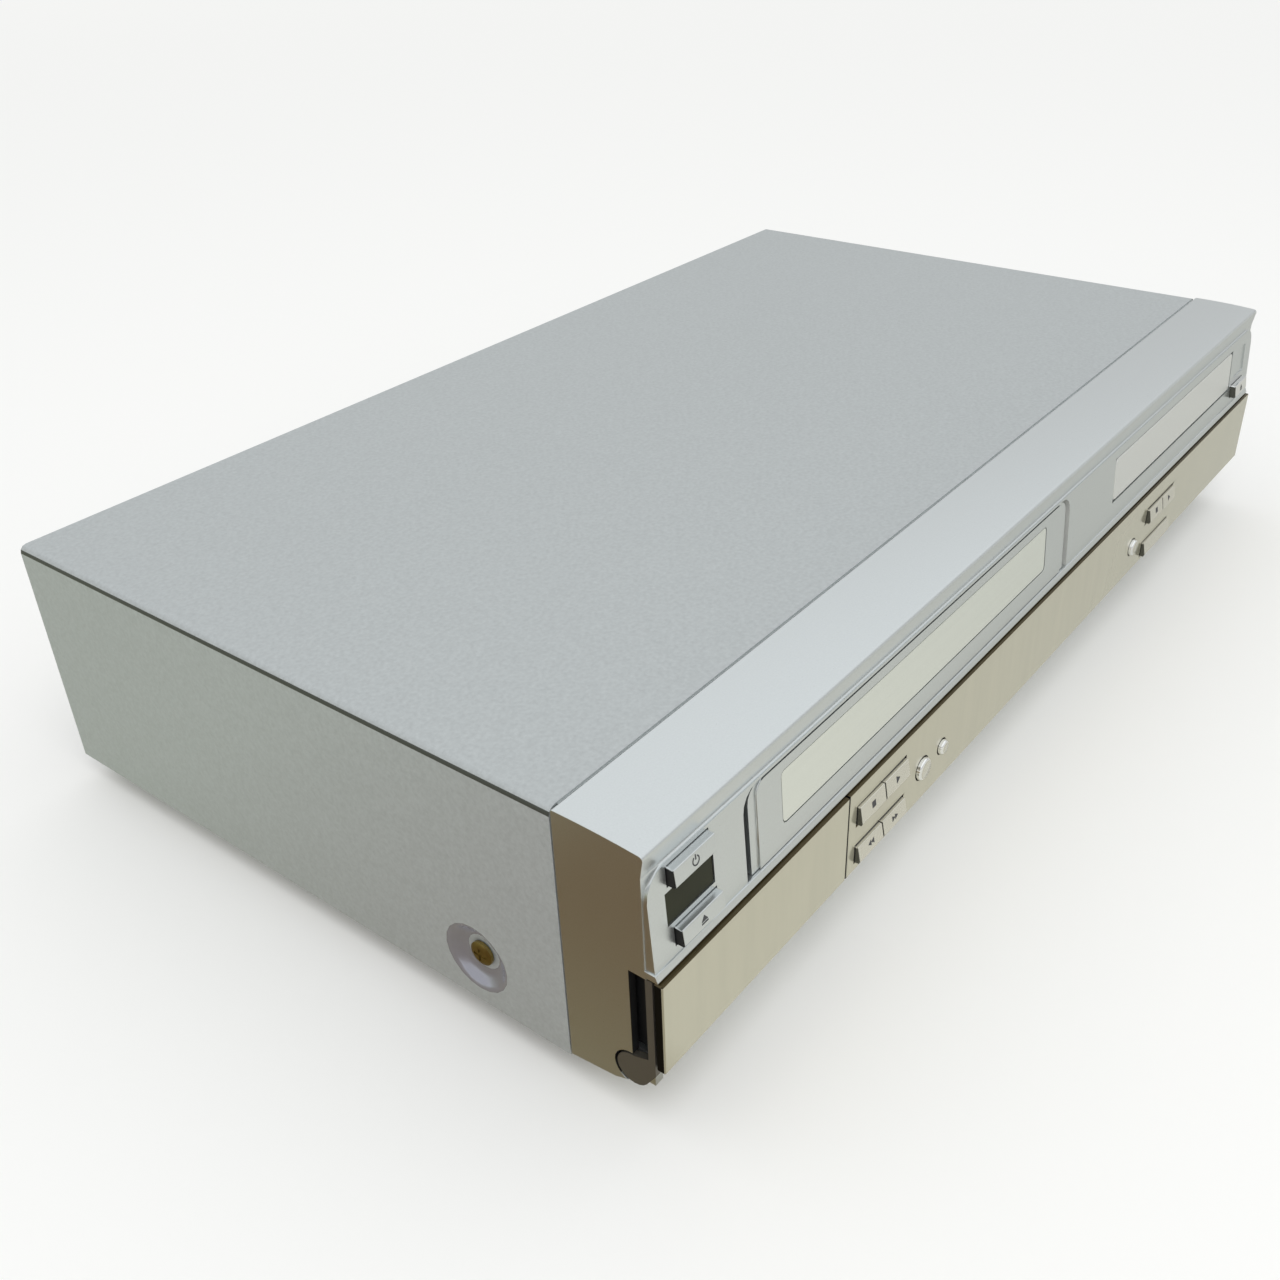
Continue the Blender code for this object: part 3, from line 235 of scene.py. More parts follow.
class DeckColours(bpy.types.PropertyGroup):
    """Colours of the deck's finishes."""

    cover: colour_property("Cover paint", "Fine textured paint of the folded cover", "B6BABA")
    bezel: colour_property("Front paint", "Smooth silver paint of the front", "D6DADA")
    mirror: colour_property("Half mirror", "Champagne half-mirror acrylic", "C3BFA9")
    inlay: colour_property("Inlay", "Brushed foil of the cassette flap", "ECEFE8")
    plate: colour_property("Plated keys", "Bright plating of the keys", "DAD7CB")
    window: colour_property("Dark window", "Tinted remote-control window", "24260F")
    mark: colour_property("Key marks", "Ink of the marks on the keys", "3C3D40")
    screw: colour_property("Screws", "Yellow passivated steel", "93804A")


def node(tree, kind, inputs=None, **settings):
    """Adds a node, sets its attributes, and sets or links its inputs."""
    made = tree.nodes.new(kind)
    for name, value in settings.items():
        setattr(made, name, value)
    for name, value in (inputs or {}).items():
        if isinstance(value, bpy.types.NodeSocket):
            tree.links.new(value, made.inputs[name])
        else:
            made.inputs[name].default_value = value
    return made


def empty_material(name):
    """A new material and its cleared node tree."""
    material = bpy.data.materials.new(name)
    material.use_nodes = True
    material.node_tree.nodes.clear()
    return material, material.node_tree


def grained(
        name, colour, metallic, roughness, grain_mm, tone=0.04, polish=0.05, bump=0.0,
        coat=0.0, specular=0.5):
    """A surface whose tone, polish and height follow one grain of real size in millimetres."""
    material, tree = empty_material(name)
    noise_reach = {"From Min": 0.2, "From Max": 0.8}
    place = node(tree, "ShaderNodeTexCoord")
    scale = [1 / (size * MM) for size in grain_mm]
    turn = node(tree, "ShaderNodeMapping", {"Vector": place.outputs["Object"], "Scale": scale})
    grain = node(tree, "ShaderNodeTexNoise", {
        "Vector": turn.outputs["Vector"], "Scale": 1.0, "Detail": 3.0, "Roughness": 0.6,
    })
    shade = node(tree, "ShaderNodeMapRange", {
        "Value": grain.outputs["Fac"], "To Min": 1.0 - tone, "To Max": 1.0 + tone, **noise_reach,
    })
    tint = node(tree, "ShaderNodeMix", {
        0: 1.0, 6: list(colour), 7: shade.outputs["Result"],
    }, data_type="RGBA", blend_type="MULTIPLY")
    shader = node(tree, "ShaderNodeBsdfPrincipled", {
        "Base Color": tint.outputs[2], "Metallic": metallic, "Roughness": roughness,
        "Coat Weight": coat, "Coat Roughness": 0.08, "Specular IOR Level": specular,
    })
    if polish:
        gloss = node(tree, "ShaderNodeMapRange", {
            "Value": grain.outputs["Fac"], "To Min": max(0.0, roughness - polish),
            "To Max": roughness + polish, **noise_reach,
        })
        tree.links.new(gloss.outputs["Result"], shader.inputs["Roughness"])
    if bump:
        relief = node(tree, "ShaderNodeBump", {
            "Height": grain.outputs["Fac"], "Strength": bump, "Distance": 0.1 * MM,
        })
        tree.links.new(relief.outputs["Normal"], shader.inputs["Normal"])
    node(tree, "ShaderNodeOutputMaterial", {"Surface": shader.outputs["BSDF"]})
    return material


def painted_finishes(colours):
    """The paints and inks: what each is made of, by the name of the real finish."""
    return {
        # Stoved texture paint on steel: a fine pebble that scatters light, drawn at 1.3 mm to show.
        "stoved_texture_paint": dict(
            colour=colours.cover, metallic=0.3, roughness=0.42, grain_mm=(1.3, 1.3, 1.3),
            tone=0.12, polish=0.06, bump=0.5),
        # The same paint on the folds, darkened as a painted dark reflection: a darker line along the
        # edge.
        "painted_dark_reflection_on_fold": dict(
            colour=linear("4A4C47"), metallic=0.3, roughness=0.42, grain_mm=(1.3, 1.3, 1.3),
            tone=0.06, polish=0.06, bump=0.3),
        # The same paint on the sloping walls of the dishes: smoother, and tinted bluish grey as a painted
        # reflection, so the hollow shades clearly.
        "dish_paint_with_painted_reflection": dict(
            colour=linear("B0B1BC"), metallic=0.6, roughness=0.24, grain_mm=(0.9, 0.9, 0.9),
            tone=0.02, polish=0.0),
        # Metallic paint on moulded ABS: smooth, with a soft flake sparkle.
        "metallic_paint_on_abs": dict(
            colour=colours.bezel, metallic=0.92, roughness=0.3, grain_mm=(0.5, 0.5, 0.5),
            polish=0.03),
        # Paler paint of the drawer front: pearl, with less flake than the front round it.
        "pearl_paint_on_abs": dict(
            colour=linear("DCDDD9"), metallic=0.5, roughness=0.35, grain_mm=(0.5, 0.5, 0.5),
            tone=0.03, polish=0.03),
        # The front's paint where it went on thin, inside the mouth: satin, without flake.
        "satin_paint_on_abs": dict(
            colour=linear("D2D3CE"), metallic=0.0, roughness=0.5, grain_mm=(0.5, 0.5, 0.5),
            polish=0.03),
        # Grey metallic paint on the door's carrier: a darker and calmer sheen than the front.
        "painted_abs_carrier": dict(
            colour=linear("6E6A62"), metallic=0.6, roughness=0.34, grain_mm=(0.5, 0.5, 0.5),
            tone=0.03, bump=0.05),
        # Printed ink of the key marks: flat and dark.
        "printed_ink": dict(
            colour=colours.mark, metallic=0.0, roughness=0.5, grain_mm=(0.6, 0.6, 0.6),
            tone=0.08),
    }


def metal_finishes(colours):
    """The foil, the platings and the steels: what each is made of, by the name of the real finish."""
    return {
        # Brushed foil: fine scratches along the flap, drawn 0.5 mm apart to show.
        "brushed_foil": dict(
            colour=colours.inlay, metallic=0.85, roughness=0.32, grain_mm=(90.0, 4.0, 0.5),
            tone=0.025, polish=0.03),
        # Bright plating on moulded keys: smooth, a little warm.
        "bright_plated_abs": dict(
            colour=colours.plate, metallic=0.75, roughness=0.22, grain_mm=(20.0, 20.0, 20.0),
            tone=0.01, polish=0.0),
        # The same plating on the keys' ends, darkened to a smoky grey: a painted dark reflection.
        "key_ends_painted_dark": dict(
            colour=linear("5E5E58"), metallic=0.75, roughness=0.22, grain_mm=(20.0, 20.0, 20.0),
            tone=0.01, polish=0.0),
        # Chromium on the turned edge of the round keys and on the drawer's key: a mirror.
        "bright_chromium": dict(
            colour=linear("F4F4F2"), metallic=1.0, roughness=0.08, grain_mm=(20.0, 20.0, 20.0),
            tone=0.02, polish=0.0),
        # Yellow passivated steel: a thin iridescent film over zinc.
        "yellow_passivated_steel": dict(
            colour=colours.screw, metallic=0.9, roughness=0.34, grain_mm=(1.2, 1.2, 1.2),
            tone=0.12, polish=0.08, bump=0.1),
        # Zinc-plated sheet steel: a cool grey sheen in faint clouds.
        "zinc_plated_steel": dict(
            colour=linear("A6A9AB"), metallic=0.85, roughness=0.38, grain_mm=(6.0, 6.0, 6.0),
            tone=0.08, polish=0.08, bump=0.05),
        # Blackened sheet steel: dark, with a dull sheen.
        "blackened_steel": dict(
            colour=linear("26272A"), metallic=0.4, roughness=0.5, grain_mm=(2.0, 2.0, 2.0),
            tone=0.1, polish=0.08),
        # Ground steel: bright, with fine grinding lines drawn 0.4 mm apart to show.
        "ground_steel": dict(
            colour=linear("C4C6C7"), metallic=1.0, roughness=0.2, grain_mm=(0.4, 6.0, 6.0),
            polish=0.06),
    }


def plastic_finishes(colours):
    """The acrylics, the mouldings and the cloth: what each is made of, by the name of the real finish."""
    jack = dict(metallic=0.0, roughness=0.4, grain_mm=(1.0, 1.0, 1.0))
    return {
        # Vacuum-coated acrylic: a warm half mirror with faint upright streaks.
        "half_mirror_acrylic": dict(
            colour=colours.mirror, metallic=0.5, roughness=0.16, grain_mm=(7.0, 26.0, 60.0),
            tone=0.05, coat=0.4),
        # Cut edge of the backed acrylic: black and dull.
        "black_acrylic_edge": dict(
            colour=linear("0B0B0A"), metallic=0.0, roughness=0.5, grain_mm=(3.0, 3.0, 3.0),
            tone=0.1, specular=0.1),
        # Upper edge of the backed acrylic: the amber coat seen edge on.
        "amber_acrylic_edge": dict(
            colour=linear("4A3F24"), metallic=0.5, roughness=0.25, grain_mm=(20.0, 3.0, 3.0),
            tone=0.1),
        # Tinted acrylic over the remote-control receiver and the display: nearly black.
        "tinted_acrylic": dict(
            colour=colours.window, metallic=0.0, roughness=0.3, grain_mm=(4.0, 4.0, 4.0),
            tone=0.08, polish=0.03, specular=0.15),
        # Black ABS from an etched mould: a fine matt texture. The same black is painted shade on the
        # power and eject keys' ends, in the notch and on the jack bay's left wall.
        "moulded_black_abs": dict(
            colour=linear("1B1C1E"), metallic=0.0, roughness=0.5, grain_mm=(0.7, 0.7, 0.7),
            tone=0.1, polish=0.06, bump=0.2),
        # Natural acetal: milky and a little waxy.
        "natural_acetal": dict(
            colour=linear("D8D5CB"), metallic=0.0, roughness=0.4, grain_mm=(1.5, 1.5, 1.5),
            tone=0.03, bump=0.05),
        # Solder-resist lacquer over copper tracks: green with darker runs.
        "lacquered_circuit_board": dict(
            colour=linear("2E5B3D"), metallic=0.0, roughness=0.42, grain_mm=(1.4, 1.4, 9.0),
            tone=0.2, polish=0.08, bump=0.1),
        # Moulded rubber: dull, nearly black.
        "moulded_rubber": dict(
            colour=linear("222326"), metallic=0.0, roughness=0.75, grain_mm=(0.8, 0.8, 0.8),
            tone=0.1, polish=0.06, bump=0.3),
        # Black sheet behind the cooling slots, put there to keep the inside in shade: dull and black.
        "black_shade_sheet": dict(
            colour=linear("141416"), metallic=0.0, roughness=0.9, grain_mm=(0.6, 0.6, 0.6),
            tone=0.1, specular=0.1),
        # Coloured ABS of the jack collars: plain and half glossy.
        "yellow_jack_abs": dict(colour=linear("D7B42C"), **jack),
        "white_jack_abs": dict(colour=linear("DADAD4"), **jack),
        "red_jack_abs": dict(colour=linear("B03028"), **jack),
    }


def finish(name):
    """The deck's materials, each made once under the name of its real finish."""
    found = bpy.data.materials.get(name)
    if found:
        return found
    colours = bpy.context.scene.deck_colours
    recipes = painted_finishes(colours) | metal_finishes(colours) | plastic_finishes(colours)
    return grained(name, **recipes[name])


def body_of(name):
    """The CAD body that holds a node."""
    bodies = frame["record"]["behaviour"]["bodies"]
    return next(body for body, nodes in bodies.items() if name in nodes)


def corners_of(name):
    """The low and high corners of a CAD node's box."""
    low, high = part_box(name)
    return Vector(low), Vector(high)


def paint(name, material):
    """Gives a CAD node that stays its finish."""
    mesh = frame["nodes"][name].data
    mesh.materials.clear()
    mesh.materials.append(finish(material))


def show(mesh, name):
    """A piece at the origin, its place in the mesh."""
    obj = bpy.data.objects.new(name, mesh)
    bpy.context.scene.collection.objects.link(obj)
    return obj


def mesh_from(bm, name):
    """The mesh of a bmesh, which is freed."""
    mesh = bpy.data.meshes.new(name)
    bm.to_mesh(mesh)
    bm.free()
    return mesh


def merged_copy(name):
    """A CAD node's triangles with shared corners, flat areas as single faces."""
    bm = bmesh.new()
    bm.from_mesh(frame["nodes"][name].data)
    bmesh.ops.remove_doubles(bm, verts=bm.verts, dist=MERGE_DISTANCE)
    bmesh.ops.dissolve_limit(bm, angle_limit=FLAT_ANGLE, verts=bm.verts, edges=bm.edges)
    return bm


def baked(obj):
    """The mesh that an object's modifiers give, with the modifiers taken off."""
    graph = bpy.context.evaluated_depsgraph_get()
    mesh = bpy.data.meshes.new_from_object(obj.evaluated_get(graph))
    obj.modifiers.clear()
    return mesh


def outer_corner(edge):
    """Whether two faces meet at the edge in a sharp corner that points outwards."""
    return len(edge.link_faces) == 2 and edge.calc_face_angle_signed(0.0) > CORNER_ANGLE


def dress(name, material, edge=0.0, picks=None, others=()):
    """Stands a softened copy in for a CAD node: rounded edges, smooth curves, true flats.

    Each further finish goes on the faces that pass its test, the last one that passes winning.
    """
    bm = merged_copy(name)
    if edge:
        sharp = [e for e in bm.edges if outer_corner(e) and picks(e)]
        bmesh.ops.bevel(
            bm, geom=sharp, offset=edge, offset_type="OFFSET", segments=BEVEL_STEPS,
            profile=0.5, affect="EDGES", clamp_overlap=True)
    bmesh.ops.recalc_face_normals(bm, faces=bm.faces)
    mesh = mesh_from(bm, name + "_dressed")
    mesh.materials.append(finish(material))
    for index, (other, takes) in enumerate(others, start=1):
        mesh.materials.append(finish(other))
        for face in filter(takes, mesh.polygons):
            face.material_index = index
    mesh.shade_smooth()
    mesh.set_sharp_from_angle(angle=SMOOTH_ANGLE)
    piece = show(mesh, name + "_dressed")
    flats = piece.modifiers.new("true_flats", "WEIGHTED_NORMAL")
    flats.keep_sharp = True
    piece.data = baked(piece)
    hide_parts(name)
    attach(piece, body_of(name))
    return piece


def longer_than(length):
    """A test that picks the edges over a length."""
    return lambda edge: edge.calc_length() > length


def on_end_outline(edge):
    """Picks the edges round the two end faces of the deck."""
    end = CAD_BOX[1][0] - ON_BOX
    return all(abs(vert.co.x) > end for vert in edge.verts)


def by_side_screw(point):
    """Whether a point lies within a dish's reach of a side screw's axis."""
    low, high = corners_of("cover_screw_left")
    across = point - (low + high) / 2
    return math.hypot(across.y, across.z) < DISH_REACH


def on_dish_rim(edge):
    return on_end_outline(edge) and all(by_side_screw(vert.co) for vert in edge.verts)


def in_dish(face):
    """The sloping wall of the hollow pressed round the screw in each side of the cover, which gets a
    painted reflection tone.
    """
    sunk = abs(face.center.x) < CAD_BOX[1][0] - DISH_RIM_DEPTH
    return sunk and abs(face.normal.x) < DISH_SLOPE and by_side_screw(face.center)


def on_fold(face):
    """The lowest strip of the rounding between the cover's top and its sides, which gets a painted dark
    reflection.
    """
    high = face.center.z > CAD_BOX[1][2] - FOLD_DROP
    least, most = FOLD_TURN
    return high and least < abs(face.normal.x) < most and face.normal.z > FOLD_RISE


def off_front(face):
    return face.normal.y > -FACING_NEARLY


def off_crown(face):
    return face.normal.y > -FACING_FULLY


def on_top(face):
    return face.normal.z > FACING_NEARLY


def on_ends(face):
    return abs(face.normal.x) > FACING


def on_left(face):
    return face.normal.x < -FACING


def in_notch(face):
    """The back of the notch in the left end, beside the jack bay, painted black as painted shade."""
    bay = corners_of("jack_pocket")[0]
    beside = face.center.x < bay.x and face.center.y > bay.y + NOTCH_DEPTH
    return beside and face.normal.y < -FACING


def on_mouth_end(face):
    """The wall of the front that closes the right end of the cassette mouth."""
    mouth = corners_of("cassette_flap")[1].x
    return on_left(face) and abs(face.center.x - mouth) < MOUTH_REACH


def plate(name, outlines, place, thick, material):
    """A piece of closed flat shapes; place turns (u, v, w) into a point, w running 0 to thick."""
    bm = bmesh.new()
    for outline in outlines:
        near = [bm.verts.new(place(u, v, 0.0)) for u, v in outline]
        far = [bm.verts.new(place(u, v, thick)) for u, v in outline]
        bm.faces.new(near)
        bm.faces.new(far[::-1])
        for i, vert in enumerate(near):
            j = (i + 1) % len(near)
            bm.faces.new((vert, far[i], far[j], near[j]))
    bmesh.ops.recalc_face_normals(bm, faces=bm.faces)
    mesh = mesh_from(bm, name)
    mesh.materials.append(finish(material))
    return show(mesh, name)


def oblong(left, right, bottom, top):
    return [(left, bottom), (right, bottom), (right, top), (left, top)]


def bar(width, height, rise=0.0):
    return oblong(-width / 2, width / 2, rise - height / 2, rise + height / 2)


def pointer(size, shift=0.0, way=1):
    """A triangle that points right, or left where way is -1."""
    half = size / 2
    reach = way * half * POINTER_SHARE
    return [(shift - reach, -half), (shift + reach, 0.0), (shift - reach, half)]


def ring(radius, width, first, last, steps):
    """An open ring between two angles in degrees."""
    turns = [math.radians(first + (last - first) * i / steps) for i in range(steps + 1)]
    outer = [(radius * math.cos(a), radius * math.sin(a)) for a in turns]
    inner = [((radius - width) * math.cos(a), (radius - width) * math.sin(a)) for a in turns]
    return outer + inner[::-1]


def key_marks(size):
    """The plain transport signs: node name to the outlines drawn on its face."""
    half, foot, tip = 0.55 * size, -0.2 * size, 0.5 * size
    eject = [
        [(-half, foot), (half, foot), (0.0, tip)],
        bar(width=2 * half, height=0.18 * size, rise=-0.42 * size),
    ]
    stop = [bar(width=0.85 * size, height=0.85 * size)]
    play = [pointer(size)]
    small, apart = 0.8 * size, 0.35 * size
    stroke = 0.16 * size
    return {
        "stop_button": stop,
        "play_button": play,
        "rewind_button": [pointer(small, -apart, -1), pointer(small, apart, -1)],
        "forward_button": [pointer(small, -apart), pointer(small, apart)],
        "disc_stop_button": stop,
        "disc_play_button": play,
        "eject_button": eject,
        "open_close_button": eject,
        "power_button": [
            ring(radius=0.6 * size, width=stroke, first=120, last=420, steps=16),
            bar(width=stroke, height=0.62 * size, rise=0.42 * size),
        ],
    }


def face_point(name):
    """Maps (across, up, lift) on a wedge key's sloping front face to a point."""
    points = [v.co for v in frame["nodes"][name].data.vertices]
    low, high = corners_of(name)
    front = min(p.y for p in points)
    crest = max(p.z for p in points if p.y < front + CREST_SLACK)
    cap = [p for p in points if p.y < front + CAP_DEPTH]
    top = max(p.z for p in cap)
    top_y = min(p.y for p in cap if p.z > top - TOP_SLACK)
    slope = (top_y - front) / (top - crest)
    middle_x = (low.x + high.x) / 2
    middle_z = (crest + top) / 2
    return lambda u, v, w: (
        middle_x + u, front + slope * (middle_z + v - crest) - w, middle_z + v)


class DECK_OT_cover(bpy.types.Operator):
    """Textured paint and softened dishes on the folded cover."""

    bl_idname = "deck.cover"
    bl_label = "Cover"

    def execute(self, context):
        edge = context.scene.deck_sizes.dish_edge
        # Painted light on the cover: a painted dark reflection along the folds and a painted bluish
        # reflection tone in the dishes.
        dress("top_cover", "stoved_texture_paint", edge, on_dish_rim, [
            ("painted_dark_reflection_on_fold", on_fold), ("dish_paint_with_painted_reflection", in_dish)])
        return {"FINISHED"}


class DECK_OT_front(bpy.types.Operator):
    """Painted front moulding with smooth curves."""

    bl_idname = "deck.front"
    bl_label = "Front moulding"

    def execute(self, context):
        edge = context.scene.deck_sizes.shell_edge
        # The back of the notch and the jack bay's left wall are painted black: painted shade in the
        # recess.
        dress("front_bezel", "metallic_paint_on_abs", edge, on_end_outline, [
            ("satin_paint_on_abs", on_mouth_end), ("moulded_black_abs", in_notch)])
        dress("jack_pocket", "metallic_paint_on_abs", others=[("moulded_black_abs", on_left)])
        paint("sensor_window", "tinted_acrylic")
        self.tongue()
        return {"FINISHED"}

    def tongue(self):
        """The moulding's lip that shows in the seam under the edge of the cover."""
        cover_low, cover_high = corners_of("top_cover")
        front = corners_of("front_bezel")[1].y + LIP_CLEARANCE
        back = cover_low.y - LIP_CLEARANCE
        top = cover_high.z - LIP_DROP
        end = cover_high.x - LIP_SETBACK
        piece = plate(
            "seam_tongue", [oblong(-end, end, front, back)],
            lambda u, v, w: (u, v, top - w), LIP_THICKNESS, "metallic_paint_on_abs")
        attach(piece, CABINET)


class DECK_OT_panels(bpy.types.Operator):
    """Half-mirror panels with black cut edges."""

    bl_idname = "deck.panels"
    bl_label = "Half-mirror panels"

    def execute(self, context):
        edge = context.scene.deck_sizes.panel_edge
        edges = [("black_acrylic_edge", off_front), ("amber_acrylic_edge", on_top)]
        dress("lower_panel", "half_mirror_acrylic", edge, longer_than(LONG_PANEL_EDGE), edges)
        dress("jack_door_panel", "half_mirror_acrylic", others=edges)
        dress("jack_door_frame", "painted_abs_carrier")
        return {"FINISHED"}


class DECK_OT_flap(bpy.types.Operator):
    """Cassette flap with its brushed inlay."""

    bl_idname = "deck.flap"
    bl_label = "Cassette flap"

    def execute(self, context):
        dress("cassette_flap", "metallic_paint_on_abs")
        paint("flap_inlay", "brushed_foil")
        return {"FINISHED"}


class DECK_OT_drawer(bpy.types.Operator):
    """Disc drawer and its front."""

    bl_idname = "deck.drawer"
    bl_label = "Disc drawer"

    def execute(self, context):
        edge = context.scene.deck_sizes.key_edge
        dress("tray_front", "pearl_paint_on_abs", edge, longer_than(LONG_DRAWER_EDGE))
        dress("disc_tray", "moulded_black_abs")
        return {"FINISHED"}


class DECK_OT_keys(bpy.types.Operator):
    """Plated and painted keys with soft edges."""

    bl_idname = "deck.keys"
    bl_label = "Keys"

    def execute(self, context):
        edge = context.scene.deck_sizes.key_edge
        # The keys' ends get a dark grey plating: a painted dark reflection.
        painted_dark_ends = [("key_ends_painted_dark", on_ends)]
        # The power and eject keys' ends are painted black: painted shade.
        black = [("moulded_black_abs", on_ends)]
        long = longer_than(LONG_KEY_EDGE)
        for name in KEY_NODES:
            dress(name, "bright_plated_abs", edge, long, painted_dark_ends)
        dress("open_close_button", "bright_chromium", edge, long, painted_dark_ends)
        for name in BLACK_ENDED_KEY_NODES:
            dress(name, "metallic_paint_on_abs", edge, long, black)
        for name in ROUND_KEY_NODES:
            dress(name, "bright_plated_abs", others=[("bright_chromium", off_crown)])
        return {"FINISHED"}


class DECK_OT_marks(bpy.types.Operator):
    """Printed transport marks on the keys."""

    bl_idname = "deck.marks"
    bl_label = "Key marks"

    def execute(self, context):
        sizes = context.scene.deck_sizes
        for name, outlines in key_marks(sizes.mark_height).items():
            mark = plate(
                name + "_mark", outlines, face_point(name), sizes.mark_lift, "printed_ink")
            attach(mark, body_of(name))
        return {"FINISHED"}


def tree_with(label, lengths):
    """A Geometry Nodes tree that takes points, the named lengths and a finish."""
    tree = bpy.data.node_groups.new(label, "GeometryNodeTree")
    face = tree.interface
    face.new_socket("Geometry", in_out="INPUT", socket_type="NodeSocketGeometry")
    for name in lengths:
        face.new_socket(name, in_out="INPUT", socket_type="NodeSocketFloat")
    face.new_socket("Finish", in_out="INPUT", socket_type="NodeSocketMaterial")
    face.new_socket("Geometry", in_out="OUTPUT", socket_type="NodeSocketGeometry")
    return tree


def close_tree(tree, given, shape):
    """Ends a tree: the shape on every point, turned along the point's out, made real and coloured."""
    out = node(
        tree, "GeometryNodeInputNamedAttribute", {"Name": "out"}, data_type="FLOAT_VECTOR")
    turn = node(
        tree, "FunctionNodeAlignRotationToVector", {"Vector": out.outputs["Attribute"]}, axis="Z")
    spread = node(tree, "GeometryNodeInstanceOnPoints", {
        "Points": given.outputs["Geometry"], "Instance": shape,
        "Rotation": turn.outputs["Rotation"]})
    whole = node(tree, "GeometryNodeRealizeInstances", {"Geometry": spread.outputs["Instances"]})
    coloured = node(tree, "GeometryNodeSetMaterial", {
        "Geometry": whole.outputs["Geometry"], "Material": given.outputs["Finish"]})
    node(tree, "NodeGroupOutput", {"Geometry": coloured.outputs["Geometry"]})


def grown(name, tree, places, material, lengths):
    """The plain mesh that a tree gives on (point, out) pairs."""
    mesh = bpy.data.meshes.new(name + "_points")
    mesh.from_pydata([point for point, out in places], [], [])
    outs = mesh.attributes.new("out", "FLOAT_VECTOR", "POINT")
    outs.data.foreach_set("vector", [part for point, out in places for part in out])
    piece = show(mesh, name)
    step = piece.modifiers.new("spread", "NODES")
    step.node_group = tree
    values = {**lengths, "Finish": finish(material)}
    for item in tree.interface.items_tree:
        if item.in_out == "INPUT" and item.name in values:
            step[item.identifier] = values[item.name]
    piece.data = baked(piece)
    piece.data.materials.clear()
    piece.data.materials.append(finish(material))
    return piece


def screw_tree():
    """A pan head whose top lies on the point, with a cross recess."""
    tree = tree_with(
        "cross_screws",
        ("Radius", "Crown", "Rim height", "Crown height", "Slot", "Slot length"))
    given = node(tree, "NodeGroupInput")
    size = given.outputs
    rim = node(tree, "GeometryNodeMeshCylinder", {
        "Vertices": SCREW_SIDES, "Radius": size["Radius"], "Depth": size["Rim height"]})
    crown = node(tree, "GeometryNodeMeshCone", {
        "Vertices": SCREW_SIDES, "Radius Top": size["Crown"], "Radius Bottom": size["Radius"],
        "Depth": size["Crown height"]})
    half = node(tree, "ShaderNodeMath", {0: size["Rim height"], 1: 0.5}, operation="MULTIPLY")
    lift = node(tree, "ShaderNodeCombineXYZ", {"Z": half.outputs["Value"]})
    raised = node(tree, "GeometryNodeTransform", {
        "Geometry": crown.outputs["Mesh"], "Translation": lift.outputs["Vector"]})
    head = node(tree, "GeometryNodeMeshBoolean", operation="UNION", solver="EXACT")
    tree.links.new(rim.outputs["Mesh"], head.inputs["Mesh 2"])
    tree.links.new(raised.outputs["Geometry"], head.inputs["Mesh 2"])
    top = node(tree, "ShaderNodeMath", {
        0: half.outputs["Value"], 1: size["Crown height"]}, operation="ADD")
    drop = node(tree, "ShaderNodeMath", {0: top.outputs["Value"], 1: -1.0}, operation="MULTIPLY")
    sunk = node(tree, "ShaderNodeCombineXYZ", {"Z": drop.outputs["Value"]})
    placed = node(tree, "GeometryNodeTransform", {
        "Geometry": head.outputs["Mesh"], "Translation": sunk.outputs["Vector"]})
    cut = node(tree, "GeometryNodeMeshBoolean", {
        "Mesh 1": placed.outputs["Geometry"]}, operation="DIFFERENCE", solver="EXACT")
    for across, along in (("X", "Y"), ("Y", "X")):
        slot = node(tree, "ShaderNodeCombineXYZ", {
            across: size["Slot"], along: size["Slot length"], "Z": size["Rim height"]})
        bar_cut = node(tree, "GeometryNodeMeshCube", {"Size": slot.outputs["Vector"]})
        tree.links.new(bar_cut.outputs["Mesh"], cut.inputs["Mesh 2"])
    close_tree(tree, given, cut.outputs["Mesh"])
    return tree


class DECK_OT_screws(bpy.types.Operator):
    """Pan-head screws with a cross recess."""

    bl_idname = "deck.screws"
    bl_label = "Screws"

    def execute(self, context):
        sizes = context.scene.deck_sizes
        radius, height = sizes.screw_radius, sizes.screw_height
        places = []
        for name, outward in SCREW_NODES.items():
            low, high = corners_of(name)
            out = Vector(outward)
            places.append(((low + high) / 2 + out * abs((high - low).dot(out)) / 2, out))
        piece = grown("screw_heads", screw_tree(), places, "yellow_passivated_steel", {
            "Radius": radius, "Crown": radius * CROWN_SHARE,
            "Rim height": height * RIM_SHARE, "Crown height": height * (1 - RIM_SHARE),
            "Slot": sizes.cross_width, "Slot length": radius * SLOT_SHARE})
        piece.data.shade_smooth()
        piece.data.set_sharp_from_angle(angle=SCREW_SMOOTH_ANGLE)
        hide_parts(*SCREW_NODES)
        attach(piece, CABINET)
        return {"FINISHED"}


def collar_tree():
    """An open collar whose middle lies on the point."""
    tree = tree_with("jack_collars", ("Radius", "Bore", "Depth"))
    given = node(tree, "NodeGroupInput")
    size = given.outputs
    outer = node(tree, "GeometryNodeMeshCylinder", {
        "Vertices": COLLAR_SIDES, "Radius": size["Radius"], "Depth": size["Depth"]})
    longer = node(tree, "ShaderNodeMath", {0: size["Depth"], 1: 2.0}, operation="MULTIPLY")
    inner = node(tree, "GeometryNodeMeshCylinder", {
        "Vertices": COLLAR_SIDES, "Radius": size["Bore"], "Depth": longer.outputs["Value"]})
    collar = node(tree, "GeometryNodeMeshBoolean", {
        "Mesh 1": outer.outputs["Mesh"], "Mesh 2": inner.outputs["Mesh"]},
        operation="DIFFERENCE", solver="EXACT")
    close_tree(tree, given, collar.outputs["Mesh"])
    return tree


